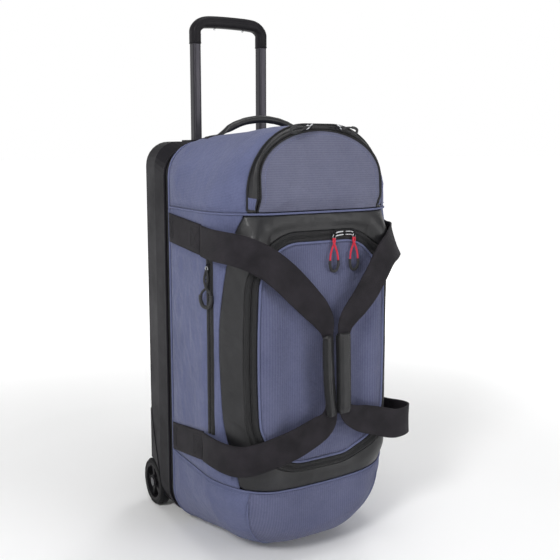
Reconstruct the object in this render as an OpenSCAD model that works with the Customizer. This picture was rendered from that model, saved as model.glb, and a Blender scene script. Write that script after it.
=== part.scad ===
// Rolling duffel bag: moulded back tray with two wheels and a pull-out trolley, a sewn fabric
// body with a zipped lid and a zipped top pocket, and two webbing carry handles.
// X to the right seen from the front, -Y is the front (lid side), +Z up, floor at z = 0.

/* [Bag body] */
// Width across the fabric body
body_w = 342; // [320:2:360]
// Height of the fabric body
body_h = 732; // [722:2:742]
// Depth from the trolley tubes to the front of the lid
front_depth = 325; // [310:5:340]
// Radius of the rounded front edges, seen from above
edge_r = 90; // [84:2:94]
// Height of the lower front edge above the floor
front_rise = 64; // [56:2:68]
// Wall thickness of fabric with its foam
wall = 2.5; // [2:0.5:3]

/* [Back tray] */
// Depth from the trolley tubes to the tray's back face
tray_back = 24; // [22:1:26]
// Depth from the trolley tubes to the tray's back face below its bend
tray_deep = 36; // [32:1:38]
// Depth from the trolley tubes to the tray's front rim
tray_front = 80; // [70:5:90]
// Drop from the body's top to the tray's top
tray_drop = 26; // [22:2:30]
// Wall thickness of the moulded tray
tray_wall = 3; // [2.5:0.5:4]

/* [Wheels] */
// Wheel radius
wheel_r = 45; // [40:1:48]
// Tyre width
tyre_w = 22; // [18:1:24]
// Distance of the wheel axle behind the trolley tubes
axle_y = 12; // [8:1:14]
// Axle radius
axle_r = 4; // [3:0.5:5]

/* [Trolley] */
// Distance between the centres of the two trolley tubes
tube_gap = 141; // [130:1:150]
// Width of a moving tube, side to side
tube_w = 16; // [14:0.5:18]
// Depth of a moving tube, front to back
tube_d = 21; // [18:0.5:22]
// Height of the joint between the tubes and the grip
grip_z = 887; // [860:1:900]
// Travel of the release button
button_travel = 3; // [2:0.5:3.5]

/* [Front lid] */
// Half of the lid's width
lid_hw = 114; // [110:1:116]
// Height of the lid's lower edge
lid_z0 = 181; // [175:1:190]
// Height of the lid's upper edge
lid_z1 = 541; // [536:1:544]
// Width of the zip tape on each side of the teeth
tape_w = 8; // [7:0.5:9]

/* [Top pocket] */
// Radius of the arched pocket flap
flap_r = 111; // [108:0.5:112]
// Rise of the flap's rounded top above its straight sides
flap_rise = 75; // [72:0.5:76]
// Height at which the flap's straight sides end
arch_z = 648; // [646:1:650]

/* [Carry handles] */
// Width of the carry handle webbing
web_w = 50; // [45:1:52]
// Thickness of the webbing
web_t = 2.5; // [2:0.5:3]
// Height of the grip sleeves' middle
sleeve_z = 329; // [320:1:335]

/* [Hidden] */
$fn = 48;

blue = "#5b6079"; side_blue = "#646a86"; trim_blue = "#8a92b4"; coated = "#38373a";
webbing = "#2c2a2b"; plastic = "#363639"; metal = "#4a4a4e"; silver = "#b9bbc0"; red = "#c8243a";

// Everything is laid out from the plane of the trolley tubes, which stands this far behind
// the middle of the whole part.
tube_y = 155;
half_w = body_w / 2;
front_y = -front_depth;
edge_y = front_y + edge_r;
tray_top = body_h - tray_drop;
half_gap = tube_gap / 2;
tape_gap = 0.5;
trim = 4;                     // width of a piping cord
proud = 1.5;                  // how far piping stands out of the fabric
seam_y = -97;                 // back edge of the piping between gusset and fabric
upper_seam = 590;             // height of the upper piping
lower_seam = 129;             // height of the lower piping in the middle of the front
seam_lift = 18;               // how much higher the lower piping runs at the sides
chain_off = trim + tape_w + tape_gap / 2;  // from the lid's edge to the zip teeth
far = 900;                    // longer than the bag in any direction
slack = 0.3;                  // clearance between moving pieces

// ---- outlines and lofts ----

function arc(cx, cz, r, a0, a1, steps) =
    [for (i = [0:steps]) let (a = a0 + (a1 - a0) * i / steps) [cx + r * cos(a), cz + r * sin(a)]];

// Upright outline with its corners rounded by r0 below and r1 above
function rounded(hw, z0, z1, r0, r1, steps = 8) = concat(
    arc(hw - r1, z1 - r1, r1, 0, 90, steps), arc(-hw + r1, z1 - r1, r1, 90, 180, steps),
    arc(-hw + r0, z0 + r0, r0, 180, 270, steps), arc(hw - r0, z0 + r0, r0, 270, 360, steps));

// A station of a loft: [y, half width, bottom, top, lower and upper corner radius]
function body_edge(t) = [
    edge_y - edge_r * sin(t), half_w - edge_r + edge_r * cos(t),
    11 + (front_rise - 11) * (1 - cos(t)) ^ 0.8, body_h - 5 + 5 * sin(t),
    half_w - edge_r + 40 * cos(t), 60 + 84 * cos(t)];
body_stations = concat([
    [-tray_front, half_w - 2, 12, body_h - 39, 58, 48],
    [-100, half_w - 1, 3, body_h - 26, 74, 60],
    [-130, half_w, 0, body_h - 18, 98, 84],
    [-180, half_w, 0, body_h - 11, 120, 118]],
    [for (t = [0:18:90]) body_edge(t)]);
back_steps = 4;        // stations behind the rounded front edge
tray_stations = [
    [-tray_front, half_w - 2, 12, tray_top - 13, 58, 48],
    [-30, half_w - 2, 10, tray_top, 52, 46],
    [tray_back - 5, half_w - 5, 12, tray_top, 45, 45],
    [tray_back, half_w - 12, 18, tray_top - 14, 42, 42],
    [tray_deep, half_w - 21, 28, 400, 38, 38]];

module station(s, grow, y) {
    translate([0, y, 0]) rotate([90, 0, 0]) linear_extrude(0.02)
        polygon(rounded(s[1] + grow, s[2] - grow, s[3] + grow, s[4] + grow, s[5] + grow));
}

// The sewn body's outer form, grown outwards or, if negative, shrunk
module body_form(grow) {
    last = len(body_stations) - 1;
    hull() for (i = [0:last]) let (s = body_stations[i], turn = 18 * max(0, i - back_steps))
        station(s, grow, s[0] - grow * sin(turn));
}

// The tray's outer form; its open rim runs on by `open` in front
module tray_form(grow, open = 0) {
    hull() for (i = [0:4]) let (s = tray_stations[i])
        station(s, grow, i == 0 ? s[0] - open : s[0] + (i < 2 ? 0 : grow));
}

module layer(outer, inner) {
    difference() { body_form(outer); body_form(inner); }
}

// Everything in front of y = back whose front view is the outline
module front_prism(outline, back = -200) {
    translate([0, back, 0]) rotate([90, 0, 0]) linear_extrude(far) polygon(outline);
}

module side_prism(outline) {
    translate([-far / 2, 0, 0]) rotate([90, 0, 90]) linear_extrude(far) polygon(outline);
}

module slab(z0, z1) { translate([-far / 2, -far / 2, z0]) cube([far, far, z1 - z0]); }

module behind(y) { translate([-far / 2, y, -1]) cube([far, far, far]); }

module block(x0, x1, y0, y1, z0, z1) {
    translate([x0, y0, z0]) cube([x1 - x0, y1 - y0, z1 - z0]);
}

module placed() { translate([0, tube_y, 0]) children(); }

module on_side(side) { mirror([side < 0 ? 1 : 0, 0, 0]) children(); }

function lid_outline(off) = rounded(lid_hw + off, lid_z0 - off, lid_z1 + off, 45 + off, 30 + off);

module lid_ring(off0, off1, outer, inner) {
    intersection() {
        layer(outer, inner);
        difference() {
            front_prism(lid_outline(off1));
            front_prism(lid_outline(off0), -199);
        }
    }
}

// The lower seam seen from the front: it runs higher towards the sides
function seam_curve(off) = [for (x = [-200:10:200])
    [x, lower_seam + seam_lift * (abs(x) / half_w) ^ 2.5 + off]];
module below_seam(off) {
    front_prism(concat(seam_curve(off), [[200, -10], [-200, -10]]), 100);
}

frame_outline = [
    [134, upper_seam], [145, 561], [155, 505], [162, 410], [162, 300], [157, 235],
    [138, 100], [-138, 100], [-157, 235], [-162, 300], [-162, 410],
    [-155, 505], [-145, 561], [-134, upper_seam]];

// Arch of the top pocket, seen from the front, standing on the upper piping
function arch(grow, flare, foot) = concat(
    [for (a = [0:7.5:180])
        [(flap_r + grow) * cos(a), arch_z + (flap_rise + grow * 0.7) * sin(a)]],
    [[-flap_r - grow - flare, foot], [flap_r + grow + flare, foot]]);
flap_foot = upper_seam + trim + 0.5;

// ---- back tray and what is fixed to it ----

housing_outline = [
    [60, 192], [18, 192], [8, 160], [-8, 120], [-24, 80], [-40, 40], [-52, 12], [-52, -5], [60, -5]];
housing_x = 138;
wheel_x = 147;

module housing_zone(side) {
    on_side(side) intersection() {
        side_prism(housing_outline);
        union() {
            block(housing_x, far / 2, -far / 2, far / 2, -5, 112);
            block(150, far / 2, -far / 2, far / 2, -5, 200);
        }
    }
}

module wheel_space(side) {
    on_side(side) translate([wheel_x - 1.5, axle_y, wheel_r])
        rotate([0, 90, 0]) cylinder(h = 60, r = wheel_r + 3.5);
}

module bezel_hole(grow) {
    block(-half_gap - 16 + grow, half_gap + 16 - grow, -15 + grow, 15 - grow, tray_top - 30, body_h);
}

module back_tray() {
    color(plastic) placed() difference() {
        tray_form(0);
        tray_form(-tray_wall, 1);
        housing_zone(-1);
        housing_zone(1);
        bezel_hole(0);
    }
}

module gusset_form(grow, extra) {
    s = body_stations[0];
    hull() {
        station(s, grow, s[0] - 0.2 + extra);
        station([0, half_w - 1.2, 5, body_h - 28, 72, 58], grow, seam_y + 0.02 - extra);
    }
}

module tray_gusset() {
    color(webbing) placed() difference() { gusset_form(0, 0); gusset_form(-wall, 1); }
}

module rear_piping() {
    color(trim_blue) placed() intersection() {
        layer(proud, -wall);
        block(-far, far, seam_y - trim, seam_y, -1, far);
    }
}

module tube_outline(grow) {
    w = tube_w / 2 + grow;
    d = tube_d / 2 + grow;
    r = 4.5 + grow;
    polygon(concat(arc(w - r, d - r, r, 0, 90, 4), arc(-w + r, d - r, r, 90, 180, 4),
        arc(-w + r, -d + r, r, 180, 270, 4), arc(w - r, -d + r, r, 270, 360, 4)));
}

module tube_solid(z0, z1, grow) {
    for (s = [-1, 1]) translate([s * half_gap, 0, z0]) linear_extrude(z1 - z0) tube_outline(grow);
}

sleeve_gap = 0.3;      // running clearance of the moving tubes
sleeve_wall = 1.2;
bezel_top = tray_top + 3;

module trolley_bezel() {
    color(plastic) placed() difference() {
        union() {
            block(-half_gap - 22, half_gap + 22, -19, 19, tray_top, bezel_top);
            block(-half_gap - 15.7, half_gap + 15.7, -14.7, 14.7, tray_top - 8, tray_top);
        }
        tube_solid(tray_top - 9, bezel_top + 1, sleeve_gap);
    }
}

module outer_tubes() {
    color(metal) placed() difference() {
        tube_solid(62, tray_top - 8, sleeve_gap + sleeve_wall);
        tube_solid(61, tray_top - 7, sleeve_gap);
    }
}

foot_z = 50;

module tube_foot() {
    color(plastic) placed() difference() {
        block(-half_gap - 20, half_gap + 20, -16, tray_deep - tray_wall - 0.2, foot_z, foot_z + 30);
        tube_solid(62, 200, sleeve_gap + sleeve_wall);
        for (x = [-45, 45], z = [foot_z + 8, foot_z + 22]) translate([x, tray_deep + 1, z])
            rotate([90, 0, 0]) cylinder(h = 22, r = 1.75);
    }
}

module foot_screws() {
    color(silver) placed() for (x = [-45, 45], z = [foot_z + 8, foot_z + 22])
        translate([x, tray_deep - tray_wall - 0.4, z]) rotate([90, 0, 0]) cylinder(h = 14, r = 1.7);
}

// The lining narrows below, between the wheel housings
module back_lining() {
    color("#23242a") placed() intersection() {
        union() {
            block(-150, 150, -19, -17.5, 206, tray_top - 25);
            block(-134, 134, -19, -17.5, 26, 207);
        }
        tray_form(-tray_wall - 1);
    }
}

module base_board() {
    color("#23242a") placed() intersection() {
        block(-120, 120, -285, -30, 13, 16);
        body_form(-wall - 2);
    }
}

module wheel_housing(side) {
    color(plastic) placed() difference() {
        intersection() { tray_form(1); housing_zone(side); }
        wheel_space(side);
        on_side(side) translate([housing_x - 1, axle_y, wheel_r]) rotate([0, 90, 0])
            cylinder(h = 20, r = axle_r);
    }
}
module wheel_housing_left() { wheel_housing(-1); }
module wheel_housing_right() { wheel_housing(1); }

module wheel_axle(side) {
    color(silver) placed() on_side(side) translate([housing_x + 0.5, axle_y, wheel_r])
        rotate([0, 90, 0]) {
            cylinder(h = wheel_x + tyre_w - housing_x - 2, r = axle_r);
            translate([0, 0, wheel_x + tyre_w - housing_x - 2]) cylinder(h = 2.5, r = 8);
        }
}
module wheel_axle_left() { wheel_axle(-1); }
module wheel_axle_right() { wheel_axle(1); }

// ---- sewn body ----

module pocket_zone() { front_prism(arch(10, 8, upper_seam), -240); }

module bottom_front_zone() {
    front_prism(rounded(130, 12, 200, 100, 0.1), -255);
}

module top_wall() {
    color(side_blue) placed() difference() {
        layer(0, -wall);
        slab(-1, upper_seam + trim);
        behind(seam_y - trim);
        pocket_zone();
    }
}

module side_panel(side) {
    color(side_blue) placed() difference() {
        layer(0, -wall);
        below_seam(trim);
        slab(upper_seam, far);
        behind(seam_y - trim);
        front_prism(frame_outline, -240);
        on_side(-side) block(0, far, -far, 0, -1, far);
        side_zip_slot();
    }
}
module side_panel_left() { side_panel(-1); }
module side_panel_right() { side_panel(1); }

module bottom_wall() {
    color(side_blue) placed() difference() {
        intersection() { layer(0, -wall); below_seam(0); }
        behind(seam_y - trim);
        bottom_front_zone();
    }
}

module front_frame() {
    color(coated) placed() difference() {
        intersection() { layer(0, -wall); front_prism(frame_outline, -240); }
        below_seam(trim);
        front_prism(lid_outline(chain_off + tape_gap / 2 + tape_w));
    }
}

module frame_zip_tape() {
    color(webbing) placed()
        lid_ring(chain_off + tape_gap / 2, chain_off + tape_gap / 2 + tape_w, 0, -wall);
}

module upper_piping() {
    color(trim_blue) placed() difference() {
        intersection() { layer(proud, -wall); slab(upper_seam, upper_seam + trim); }
        behind(seam_y - trim);
    }
}

module lower_piping() {
    color(trim_blue) placed() difference() {
        intersection() { layer(proud, -wall); below_seam(trim); }
        below_seam(0);
        behind(seam_y - trim);
    }
}

module bottom_front_panel() {
    color(blue) placed() intersection() { layer(0, -wall); below_seam(0); bottom_front_zone(); }
}

module pocket_gusset() {
    color(coated) placed() difference() {
        intersection() { layer(0, -wall); pocket_zone(); }
        slab(0, upper_seam + trim);
        front_prism(arch(0.5, 0, upper_seam));
    }
}

module pocket_divider() {
    color("#23242a") placed() block(-148, 148, -290, -22, upper_seam - 5, upper_seam - 3);
}

side_zip_y = -256;

module side_zip_slot() {
    block(-far, 0, side_zip_y - 5, side_zip_y + 5, 234, 518);
}

module side_zip_tape() {
    color(webbing) placed() intersection() { layer(0, -wall); side_zip_slot(); }
}

hinge_y = -240;        // where the handles' free webbing leaves its stitching
strap_upper = [[seam_y - trim - 1, 582], [hinge_y, 572], [hinge_y, 522], [seam_y - trim - 1, 532]];
strap_lower = [[seam_y - trim - 1, 202], [hinge_y, 226], [hinge_y, 176], [seam_y - trim - 1, 152]];

module sewn_straps() {
    color(webbing) placed() intersection() {
        layer(web_t, 0);
        union() { side_prism(strap_upper); side_prism(strap_lower); }
    }
}

// ---- wheels ----

module wheel_tyre(side) {
    color("#2b2b2d") placed() on_side(side) translate([wheel_x, axle_y, wheel_r])
        rotate([0, 90, 0]) rotate_extrude() polygon([
            [wheel_r - 9, 0], [wheel_r - 3, 0], [wheel_r, 4], [wheel_r, tyre_w - 4],
            [wheel_r - 3, tyre_w], [wheel_r - 9, tyre_w]]);
}
module wheel_tyre_left() { wheel_tyre(-1); }
module wheel_tyre_right() { wheel_tyre(1); }

module wheel_rim(side) {
    color("#47474b") placed() on_side(side) translate([wheel_x, axle_y, wheel_r])
        rotate([0, 90, 0]) {
            difference() {
                cylinder(h = tyre_w, r = wheel_r - 9);
                translate([0, 0, -1]) cylinder(h = tyre_w + 2, r = wheel_r - 14);
            }
            difference() {
                union() {
                    cylinder(h = tyre_w - 2.5, r = 11);
                    for (a = [0:72:288]) rotate([0, 0, a]) translate([-4, 8, 6])
                        cube([8, wheel_r - 21, tyre_w - 10]);
                }
                translate([0, 0, -1]) cylinder(h = tyre_w + 2, r = axle_r + 2.5);
            }
        }
}
module wheel_rim_left() { wheel_rim(-1); }
module wheel_rim_right() { wheel_rim(1); }

module wheel_bearing(side) {
    color(silver) placed() on_side(side) translate([wheel_x, axle_y, wheel_r])
        rotate([0, 90, 0]) difference() {
            cylinder(h = tyre_w - 2.5, r = axle_r + 2.5);
            translate([0, 0, -1]) cylinder(h = tyre_w + 2, r = axle_r + 0.05);
        }
}
module wheel_bearing_left() { wheel_bearing(-1); }
module wheel_bearing_right() { wheel_bearing(1); }

// ---- trolley ----

tube_end = 290;        // lower end of the moving tubes
tube_wall = 1.2;
insert = 18;           // length of tube inside the grip
grip_top = grip_z + 49;
bar_under = grip_z + 26;
grip_half = half_gap + 10.5;

module inner_tubes() {
    color(metal) placed() difference() {
        tube_solid(tube_end, grip_z + insert, 0);
        tube_solid(tube_end - 1, grip_z + insert + 1, -tube_wall);
    }
}

module tube_end_blocks() {
    color(plastic) placed() difference() {
        tube_solid(tube_end + 1, tube_end + 36, -tube_wall);
        for (s = [-1, 1]) translate([s * half_gap, 0, tube_end]) cylinder(h = 40, r = 2.3);
    }
}

module trolley_grip() {
    color(plastic) placed() difference() {
        intersection() {
            front_prism(rounded(grip_half, grip_z, grip_top, 0.5, 24), 13.5);
            side_prism([for (p = rounded(13.5, grip_z, grip_top, 0.5, 9)) p]);
        }
        front_prism(rounded(grip_half - 22, grip_z - 40, bar_under, 0.5, 12), 20);
        tube_solid(grip_z - 1, grip_z + insert, 0);
        for (s = [-1, 1]) translate([s * half_gap, 0, grip_z + insert - 1])
            cylinder(h = 17, r = 2.4);
        block(-half_gap - 3, half_gap + 3, -4, 4, bar_under + 7, bar_under + 17);
        block(-18.3, 18.3, -6.3, 6.3, bar_under + 10, grip_top + 1);
        for (x = [-30, 30]) translate([x, 0, bar_under + 2]) cylinder(h = 6, r = 3.6);
    }
}

rod_top = bar_under + 14;      // top of the cross bar below the button

module release_button() {
    color("#1f1f21") placed() intersection() {
        block(-18, 18, -6, 6, rod_top, grip_top + button_travel + 0.5);
        translate([0, 0, grip_top - 34]) rotate([90, 0, 0]) translate([0, 0, -10])
            cylinder(h = 20, r = 41);
    }
}

module release_rods() {
    color(silver) placed() {
        block(-half_gap - 2, half_gap + 2, -3, 3, rod_top - 3, rod_top);
        for (s = [-1, 1]) translate([s * half_gap, 0, tube_end + 10])
            cylinder(h = rod_top - 3 - tube_end - 10, r = 2);
    }
}

// Compression springs under the cross bar: a wire ring swept along a helix
spring_r = 2.4;
wire_r = 0.4;
function helix(turns, h, steps) = [for (i = [0:steps]) let (a = 360 * turns * i / steps)
    [spring_r * cos(a), spring_r * sin(a), wire_r + (h - 2 * wire_r) * i / steps]];
function wire_ring(p, a, n) = [for (k = [0:n - 1]) let (b = 360 * k / n)
    [p[0] + wire_r * cos(b) * cos(a), p[1] + wire_r * cos(b) * sin(a), p[2] + wire_r * sin(b)]];

module spring(h, turns = 4) {
    steps = turns * 10;
    n = 6;
    path = helix(turns, h, steps);
    points = [for (i = [0:steps]) each wire_ring(path[i], 360 * turns * i / steps, n)];
    sides = [for (i = [0:steps - 1], k = [0:n - 1])
        [i * n + k, i * n + (k + 1) % n, (i + 1) * n + (k + 1) % n, (i + 1) * n + k]];
    polyhedron(points, concat(sides, [[for (k = [n - 1:-1:0]) k]],
        [[for (k = [0:n - 1]) steps * n + k]]));
}

module button_springs() {
    color(silver) placed() for (x = [-30, 30]) translate([x, 0, bar_under + 2.2])
        spring(rod_top - 3 - bar_under - 2.4);
}

// ---- grab handle on the top ----

grab_y = -130;
grab_half = 78;
grab_z = body_h - 11;
grab_rise = 25;
grab_r = (grab_half * grab_half + grab_rise * grab_rise) / (2 * grab_rise);
grab_angle = 2 * asin(grab_half / grab_r);

module grab_handle() {
    color(coated) placed() translate([0, grab_y, grab_z + grab_rise - grab_r])
        rotate([90, 0, 0]) rotate_extrude(angle = grab_angle, start = 90 - grab_angle / 2)
            translate([grab_r, 0]) circle(r = 6);
}

module grab_handle_tabs() {
    color(webbing) placed() difference() {
        for (s = [-1, 1]) on_side(s)
            block(grab_half + 4.5, grab_half + 30, grab_y - 11, grab_y + 11, body_h - 30, grab_z + 2);
        body_form(0);
    }
}

// ---- carry handles ----

function bezier(p, t) = (1 - t) ^ 3 * p[0] + 3 * (1 - t) ^ 2 * t * p[1]
    + 3 * (1 - t) * t ^ 2 * p[2] + t ^ 3 * p[3];
function curve(p, steps) = [for (i = [0:steps]) bezier(p, i / steps)];
function unit(v) = v / norm(v);
function heading(p, i) = unit(p[min(i + 1, len(p) - 1)] - p[max(i - 1, 0)]);
function offset_path(p, d) = [for (i = [0:len(p) - 1])
    let (h = heading(p, i)) p[i] + d * [-h[1], h[0]]];
function strip(p, t) = concat(offset_path(p, t / 2),
    [for (i = [len(p) - 1:-1:0]) offset_path(p, -t / 2)[i]]);

strap_y = -352;
hinge_x = half_w + web_t + slack + 0.3;
root_x = half_w + 0.6 + web_t / 2;
// Plan view of the free webbing, from its stitching round the corner to the sleeve
left_plan = concat(
    curve([[-root_x, hinge_y - 0.6], [-root_x - 1, -300], [-160, strap_y + 3], [-110, strap_y]], 12),
    [[-60, strap_y - 5], [30, strap_y - 10]]);
function right_plan(bulge) = concat(
    curve([[root_x, hinge_y - 0.6], [root_x + 3, -290], [bulge, strap_y], [118, strap_y]], 14),
    [[60, strap_y - 5], [0, strap_y - 10]]);

// Front view of the free webbing: two bands that meet at the sleeve
left_sleeve = [-19, 9];
right_sleeve = [13, 41];
sleeve_half_h = 67;
left_band = [
    [-200, 572], [-150, 563], [-105, 540], [-50, 489], [8, 420], [8, 250],
    [-34, 209], [-100, 186], [-200, 178], [-200, 228], [-124, 237], [-72, 245], [-18, 262],
    [-18, 404], [-72, 454], [-123, 496], [-150, 513], [-200, 522]];
right_band = [
    [250, 572], [150, 572], [120, 562], [97, 543], [66, 495], [26, 440], [14, 420], [14, 256],
    [46, 236], [99, 205], [159, 190], [200, 180], [250, 178], [250, 228], [167, 241], [115, 253],
    [40, 268], [40, 404], [88, 424], [110, 462], [141, 508], [165, 520], [250, 522]];

module carry_strap(upper, lower, outline) {
    color(webbing) placed() intersection() {
        union() {
            translate([0, 0, 1]) linear_extrude(sleeve_z - 1) polygon(strip(lower, web_t));
            translate([0, 0, sleeve_z]) linear_extrude(far) polygon(strip(upper, web_t));
        }
        front_prism(outline);
    }
}
module carry_strap_left() { carry_strap(left_plan, left_plan, left_band); }
module carry_strap_right() { carry_strap(right_plan(190), right_plan(214), right_band); }

module grip_sleeve(plan, x) {
    color(coated) placed() difference() {
        translate([(x[0] + x[1]) / 2, strap_y - 7.5, sleeve_z - sleeve_half_h])
            linear_extrude(2 * sleeve_half_h) polygon(rounded(14, -8, 8, 6, 6));
        translate([0, 0, 1]) linear_extrude(far) polygon(strip(plan, web_t));
    }
}
module grip_sleeve_left() { grip_sleeve(left_plan, left_sleeve); }
module grip_sleeve_right() { grip_sleeve(right_plan(214), right_sleeve); }

// ---- lid ----

module lid_panel() {
    color(blue) placed() intersection() { layer(0, -wall); front_prism(lid_outline(0)); }
}
module lid_piping() { color(trim_blue) placed() lid_ring(0, trim, proud, -wall); }
module lid_zip_tape() { color(webbing) placed() lid_ring(trim, trim + tape_w, 0, -wall); }

// ---- zip sliders and pullers ----

pin_under = 1.3;       // depth of the puller's pin below the top of its slider
body_under = 3.6;      // depth of the slider's own face below that top

module slider_plate(w, h, t) {
    linear_extrude(t - body_under) polygon(rounded(w / 2, -h / 2, h / 2, 2, w / 2 - 1));
}

// Slider seen from the front: two lugs carry the cross pin of its puller
module slider_body(w, h, t) {
    rotate([90, 0, 0]) {
        slider_plate(w, h, t);
        for (x = [-w / 2, w / 2 - 0.9]) block(x, x + 0.9, -1.7, 1.7, 0, t);
        translate([-w / 2, 0, t - pin_under]) rotate([0, 90, 0]) cylinder(h = w, r = 0.6);
    }
}

// Slider with an upright headed post, on which its puller turns
module post_slider(w, h, t) {
    rotate([90, 0, 0]) {
        slider_plate(w, h, t);
        cylinder(h = t + 0.8, r = 0.6);
        translate([0, 0, t + 0.1]) cylinder(h = 0.7, r = 1.6);
    }
}

// Flat pull loop that hangs from the origin down to -h, bored for a cross pin or a post
module pull_loop(w, h, t, cross = true) {
    rotate([90, 0, 0]) difference() {
        translate([0, 0, -t / 2]) linear_extrude(t) difference() {
            hull() {
                circle(r = 1.9);
                translate([0, -h + w / 2]) circle(r = w / 2);
            }
            hull() {
                translate([0, -8]) circle(r = 0.8);
                translate([0, -h + w / 2]) circle(r = w / 2 - 2.4);
            }
        }
        rotate([0, cross ? 90 : 0, 0]) cylinder(h = 6, r = 0.7, center = true);
    }
}

chain_z = lid_z1 + chain_off;
main_t = 6;
main_y = front_y - 0.6;
main_x = [21, 61];
pin_depth = main_t - pin_under;

module main_slider(x) {
    color("#1d1d1f") placed() translate([x, main_y, chain_z]) slider_body(9, 13, main_t);
}
module main_slider_left() { main_slider(main_x[0]); }
module main_slider_right() { main_slider(main_x[1]); }

module main_puller(x) {
    color(red) placed() translate([x, main_y - pin_depth, chain_z]) pull_loop(15, 50, 2.4);
}
module main_puller_left() { main_puller(main_x[0]); }
module main_puller_right() { main_puller(main_x[1]); }

module pocket_flap() {
    color(blue) placed() intersection() {
        layer(0, -wall);
        front_prism(arch(0, 0, flap_foot), -240);
    }
}

pocket_t = 6;
pocket_y = front_y - proud - 0.3;
pocket_tilt = 10;      // angle of the two closed sliders from the top of the arch
// The top of the arch runs close to this circle, which the sliders follow
slide_r = 170;
slide_z = arch_z + flap_rise + 7 - slide_r;

module on_arch(side) {
    translate([0, pocket_y, slide_z]) rotate([0, side * pocket_tilt, 0])
        translate([0, 0, slide_r]) children();
}

module pocket_slider(side) {
    color("#1d1d1f") placed() on_arch(side) rotate([0, 90, 0]) post_slider(8, 11, pocket_t);
}
module pocket_slider_left() { pocket_slider(-1); }
module pocket_slider_right() { pocket_slider(1); }

module pocket_puller(side) {
    color("#1d1d1f") placed() on_arch(side) translate([0, -pocket_t + pin_under, 0])
        rotate([0, side * -90, 0]) pull_loop(9, 32, 2.2, false);
}
module pocket_puller_left() { pocket_puller(-1); }
module pocket_puller_right() { pocket_puller(1); }

side_t = 5.5;
side_z = 506;
side_x = -half_w + 1;

module side_slider() {
    color("#1d1d1f") placed() translate([side_x, side_zip_y, side_z]) rotate([0, 0, -90])
        slider_body(8, 11, side_t);
}
module side_puller() {
    color("#1d1d1f") placed() translate([side_x - side_t + pin_under, side_zip_y, side_z])
        rotate([0, 0, -90]) pull_loop(18, 58, 2.4);
}

back_tray();
tray_gusset();
rear_piping();
trolley_bezel();
outer_tubes();
tube_foot();
foot_screws();
back_lining();
base_board();
wheel_housing_left();
wheel_housing_right();
wheel_axle_left();
wheel_axle_right();
top_wall();
side_panel_left();
side_panel_right();
bottom_wall();
front_frame();
frame_zip_tape();
upper_piping();
lower_piping();
bottom_front_panel();
pocket_gusset();
pocket_divider();
side_zip_tape();
sewn_straps();
grab_handle_tabs();
wheel_tyre_left();
wheel_rim_left();
wheel_bearing_left();
wheel_tyre_right();
wheel_rim_right();
wheel_bearing_right();
inner_tubes();
tube_end_blocks();
trolley_grip();
release_button();
release_rods();
button_springs();
grab_handle();
carry_strap_left();
grip_sleeve_left();
carry_strap_right();
grip_sleeve_right();
lid_panel();
lid_piping();
lid_zip_tape();
main_slider_left();
main_slider_right();
main_puller_left();
main_puller_right();
pocket_flap();
pocket_slider_left();
pocket_slider_right();
pocket_puller_left();
pocket_puller_right();
side_slider();
side_puller();
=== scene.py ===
"""Looks of the rolling duffel bag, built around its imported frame.

Lengths in the making functions are millimetres, laid out from the plane of the trolley
tubes as the frame is; put() turns them into the row frame's metres.
"""
import math

import bmesh
import bpy
import numpy as np
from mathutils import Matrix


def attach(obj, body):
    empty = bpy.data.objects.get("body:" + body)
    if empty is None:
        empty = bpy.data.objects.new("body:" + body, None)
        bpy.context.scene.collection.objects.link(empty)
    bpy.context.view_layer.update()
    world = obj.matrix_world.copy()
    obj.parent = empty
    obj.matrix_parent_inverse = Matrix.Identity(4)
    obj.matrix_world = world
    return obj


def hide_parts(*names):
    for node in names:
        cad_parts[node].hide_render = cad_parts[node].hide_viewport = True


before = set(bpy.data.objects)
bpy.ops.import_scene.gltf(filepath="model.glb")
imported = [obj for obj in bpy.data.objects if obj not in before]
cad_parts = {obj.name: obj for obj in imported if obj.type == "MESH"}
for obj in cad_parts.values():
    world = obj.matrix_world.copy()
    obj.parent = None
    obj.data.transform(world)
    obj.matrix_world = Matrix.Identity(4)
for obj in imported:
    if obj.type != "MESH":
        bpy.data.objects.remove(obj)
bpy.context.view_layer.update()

TUBE_Y = 155.0                  # where the tubes' plane stands in the row frame
HALF_W, FRONT, EDGE_R = 171.0, -325.0, 90.0
EDGE_Y = FRONT + EDGE_R         # where the rounded front edges meet the sides
ARC_LEN = EDGE_R * math.pi / 2
FLAT = HALF_W - EDGE_R          # half width of the flat front
TOP, RISE, MID_Z = 732.0, 64.0, 365.0
SEAM_BACK = -101.0              # fabric starts here, in front of the rear piping
RIM_Y = -79.0                   # front face of the tray's rim
UPPER, LOWER, LIFT, TRIM = 590.0, 129.0, 18.0, 4.0      # heights of the two seams
LID_HW, LID_Z0, LID_Z1 = 114.0, 181.0, 541.0
LID_MID = np.array([0.0, 361.0])
FLAP_R, FLAP_RISE, ARCH_Z, FLAP_FOOT = 111.0, 75.0, 648.0, 594.0
STRAP_TIES = (("upper", 557, 547), ("lower", 177, 201))   # webbing's height, back and front
SIDE_ZIP_S = 201.2              # where the side zip runs, round the belt
STRAP_FRONT_S = 224.4           # where the sewn stretch ends, round the belt
WHEEL_Y, WHEEL_Z = 12, 45
SLEEVE_Z0, SLEEVE_LEN = 262, 134.0
HOLD_Y = -236                   # where the carry handles leave the sides
FACING = (1, 0, 0), (0, -1, 0)  # a slider's right and outward directions on the front
INSIDE = np.array([0.0, -150.0, 365.0])
BELOW_TOP = np.array([0.0, -200.0, 560.0])
LOW_FRONT = np.array([0.0, -150.0, 200.0])


# ---------- noise and small maths ----------

def put(p):
    p = np.array(p, float)
    p[..., 1] += TUBE_Y
    return p / 1000.0


def grid(*parts):
    """Coordinates that broadcast together, stacked into points."""
    return np.stack(np.broadcast_arrays(*parts), -1)


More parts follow.
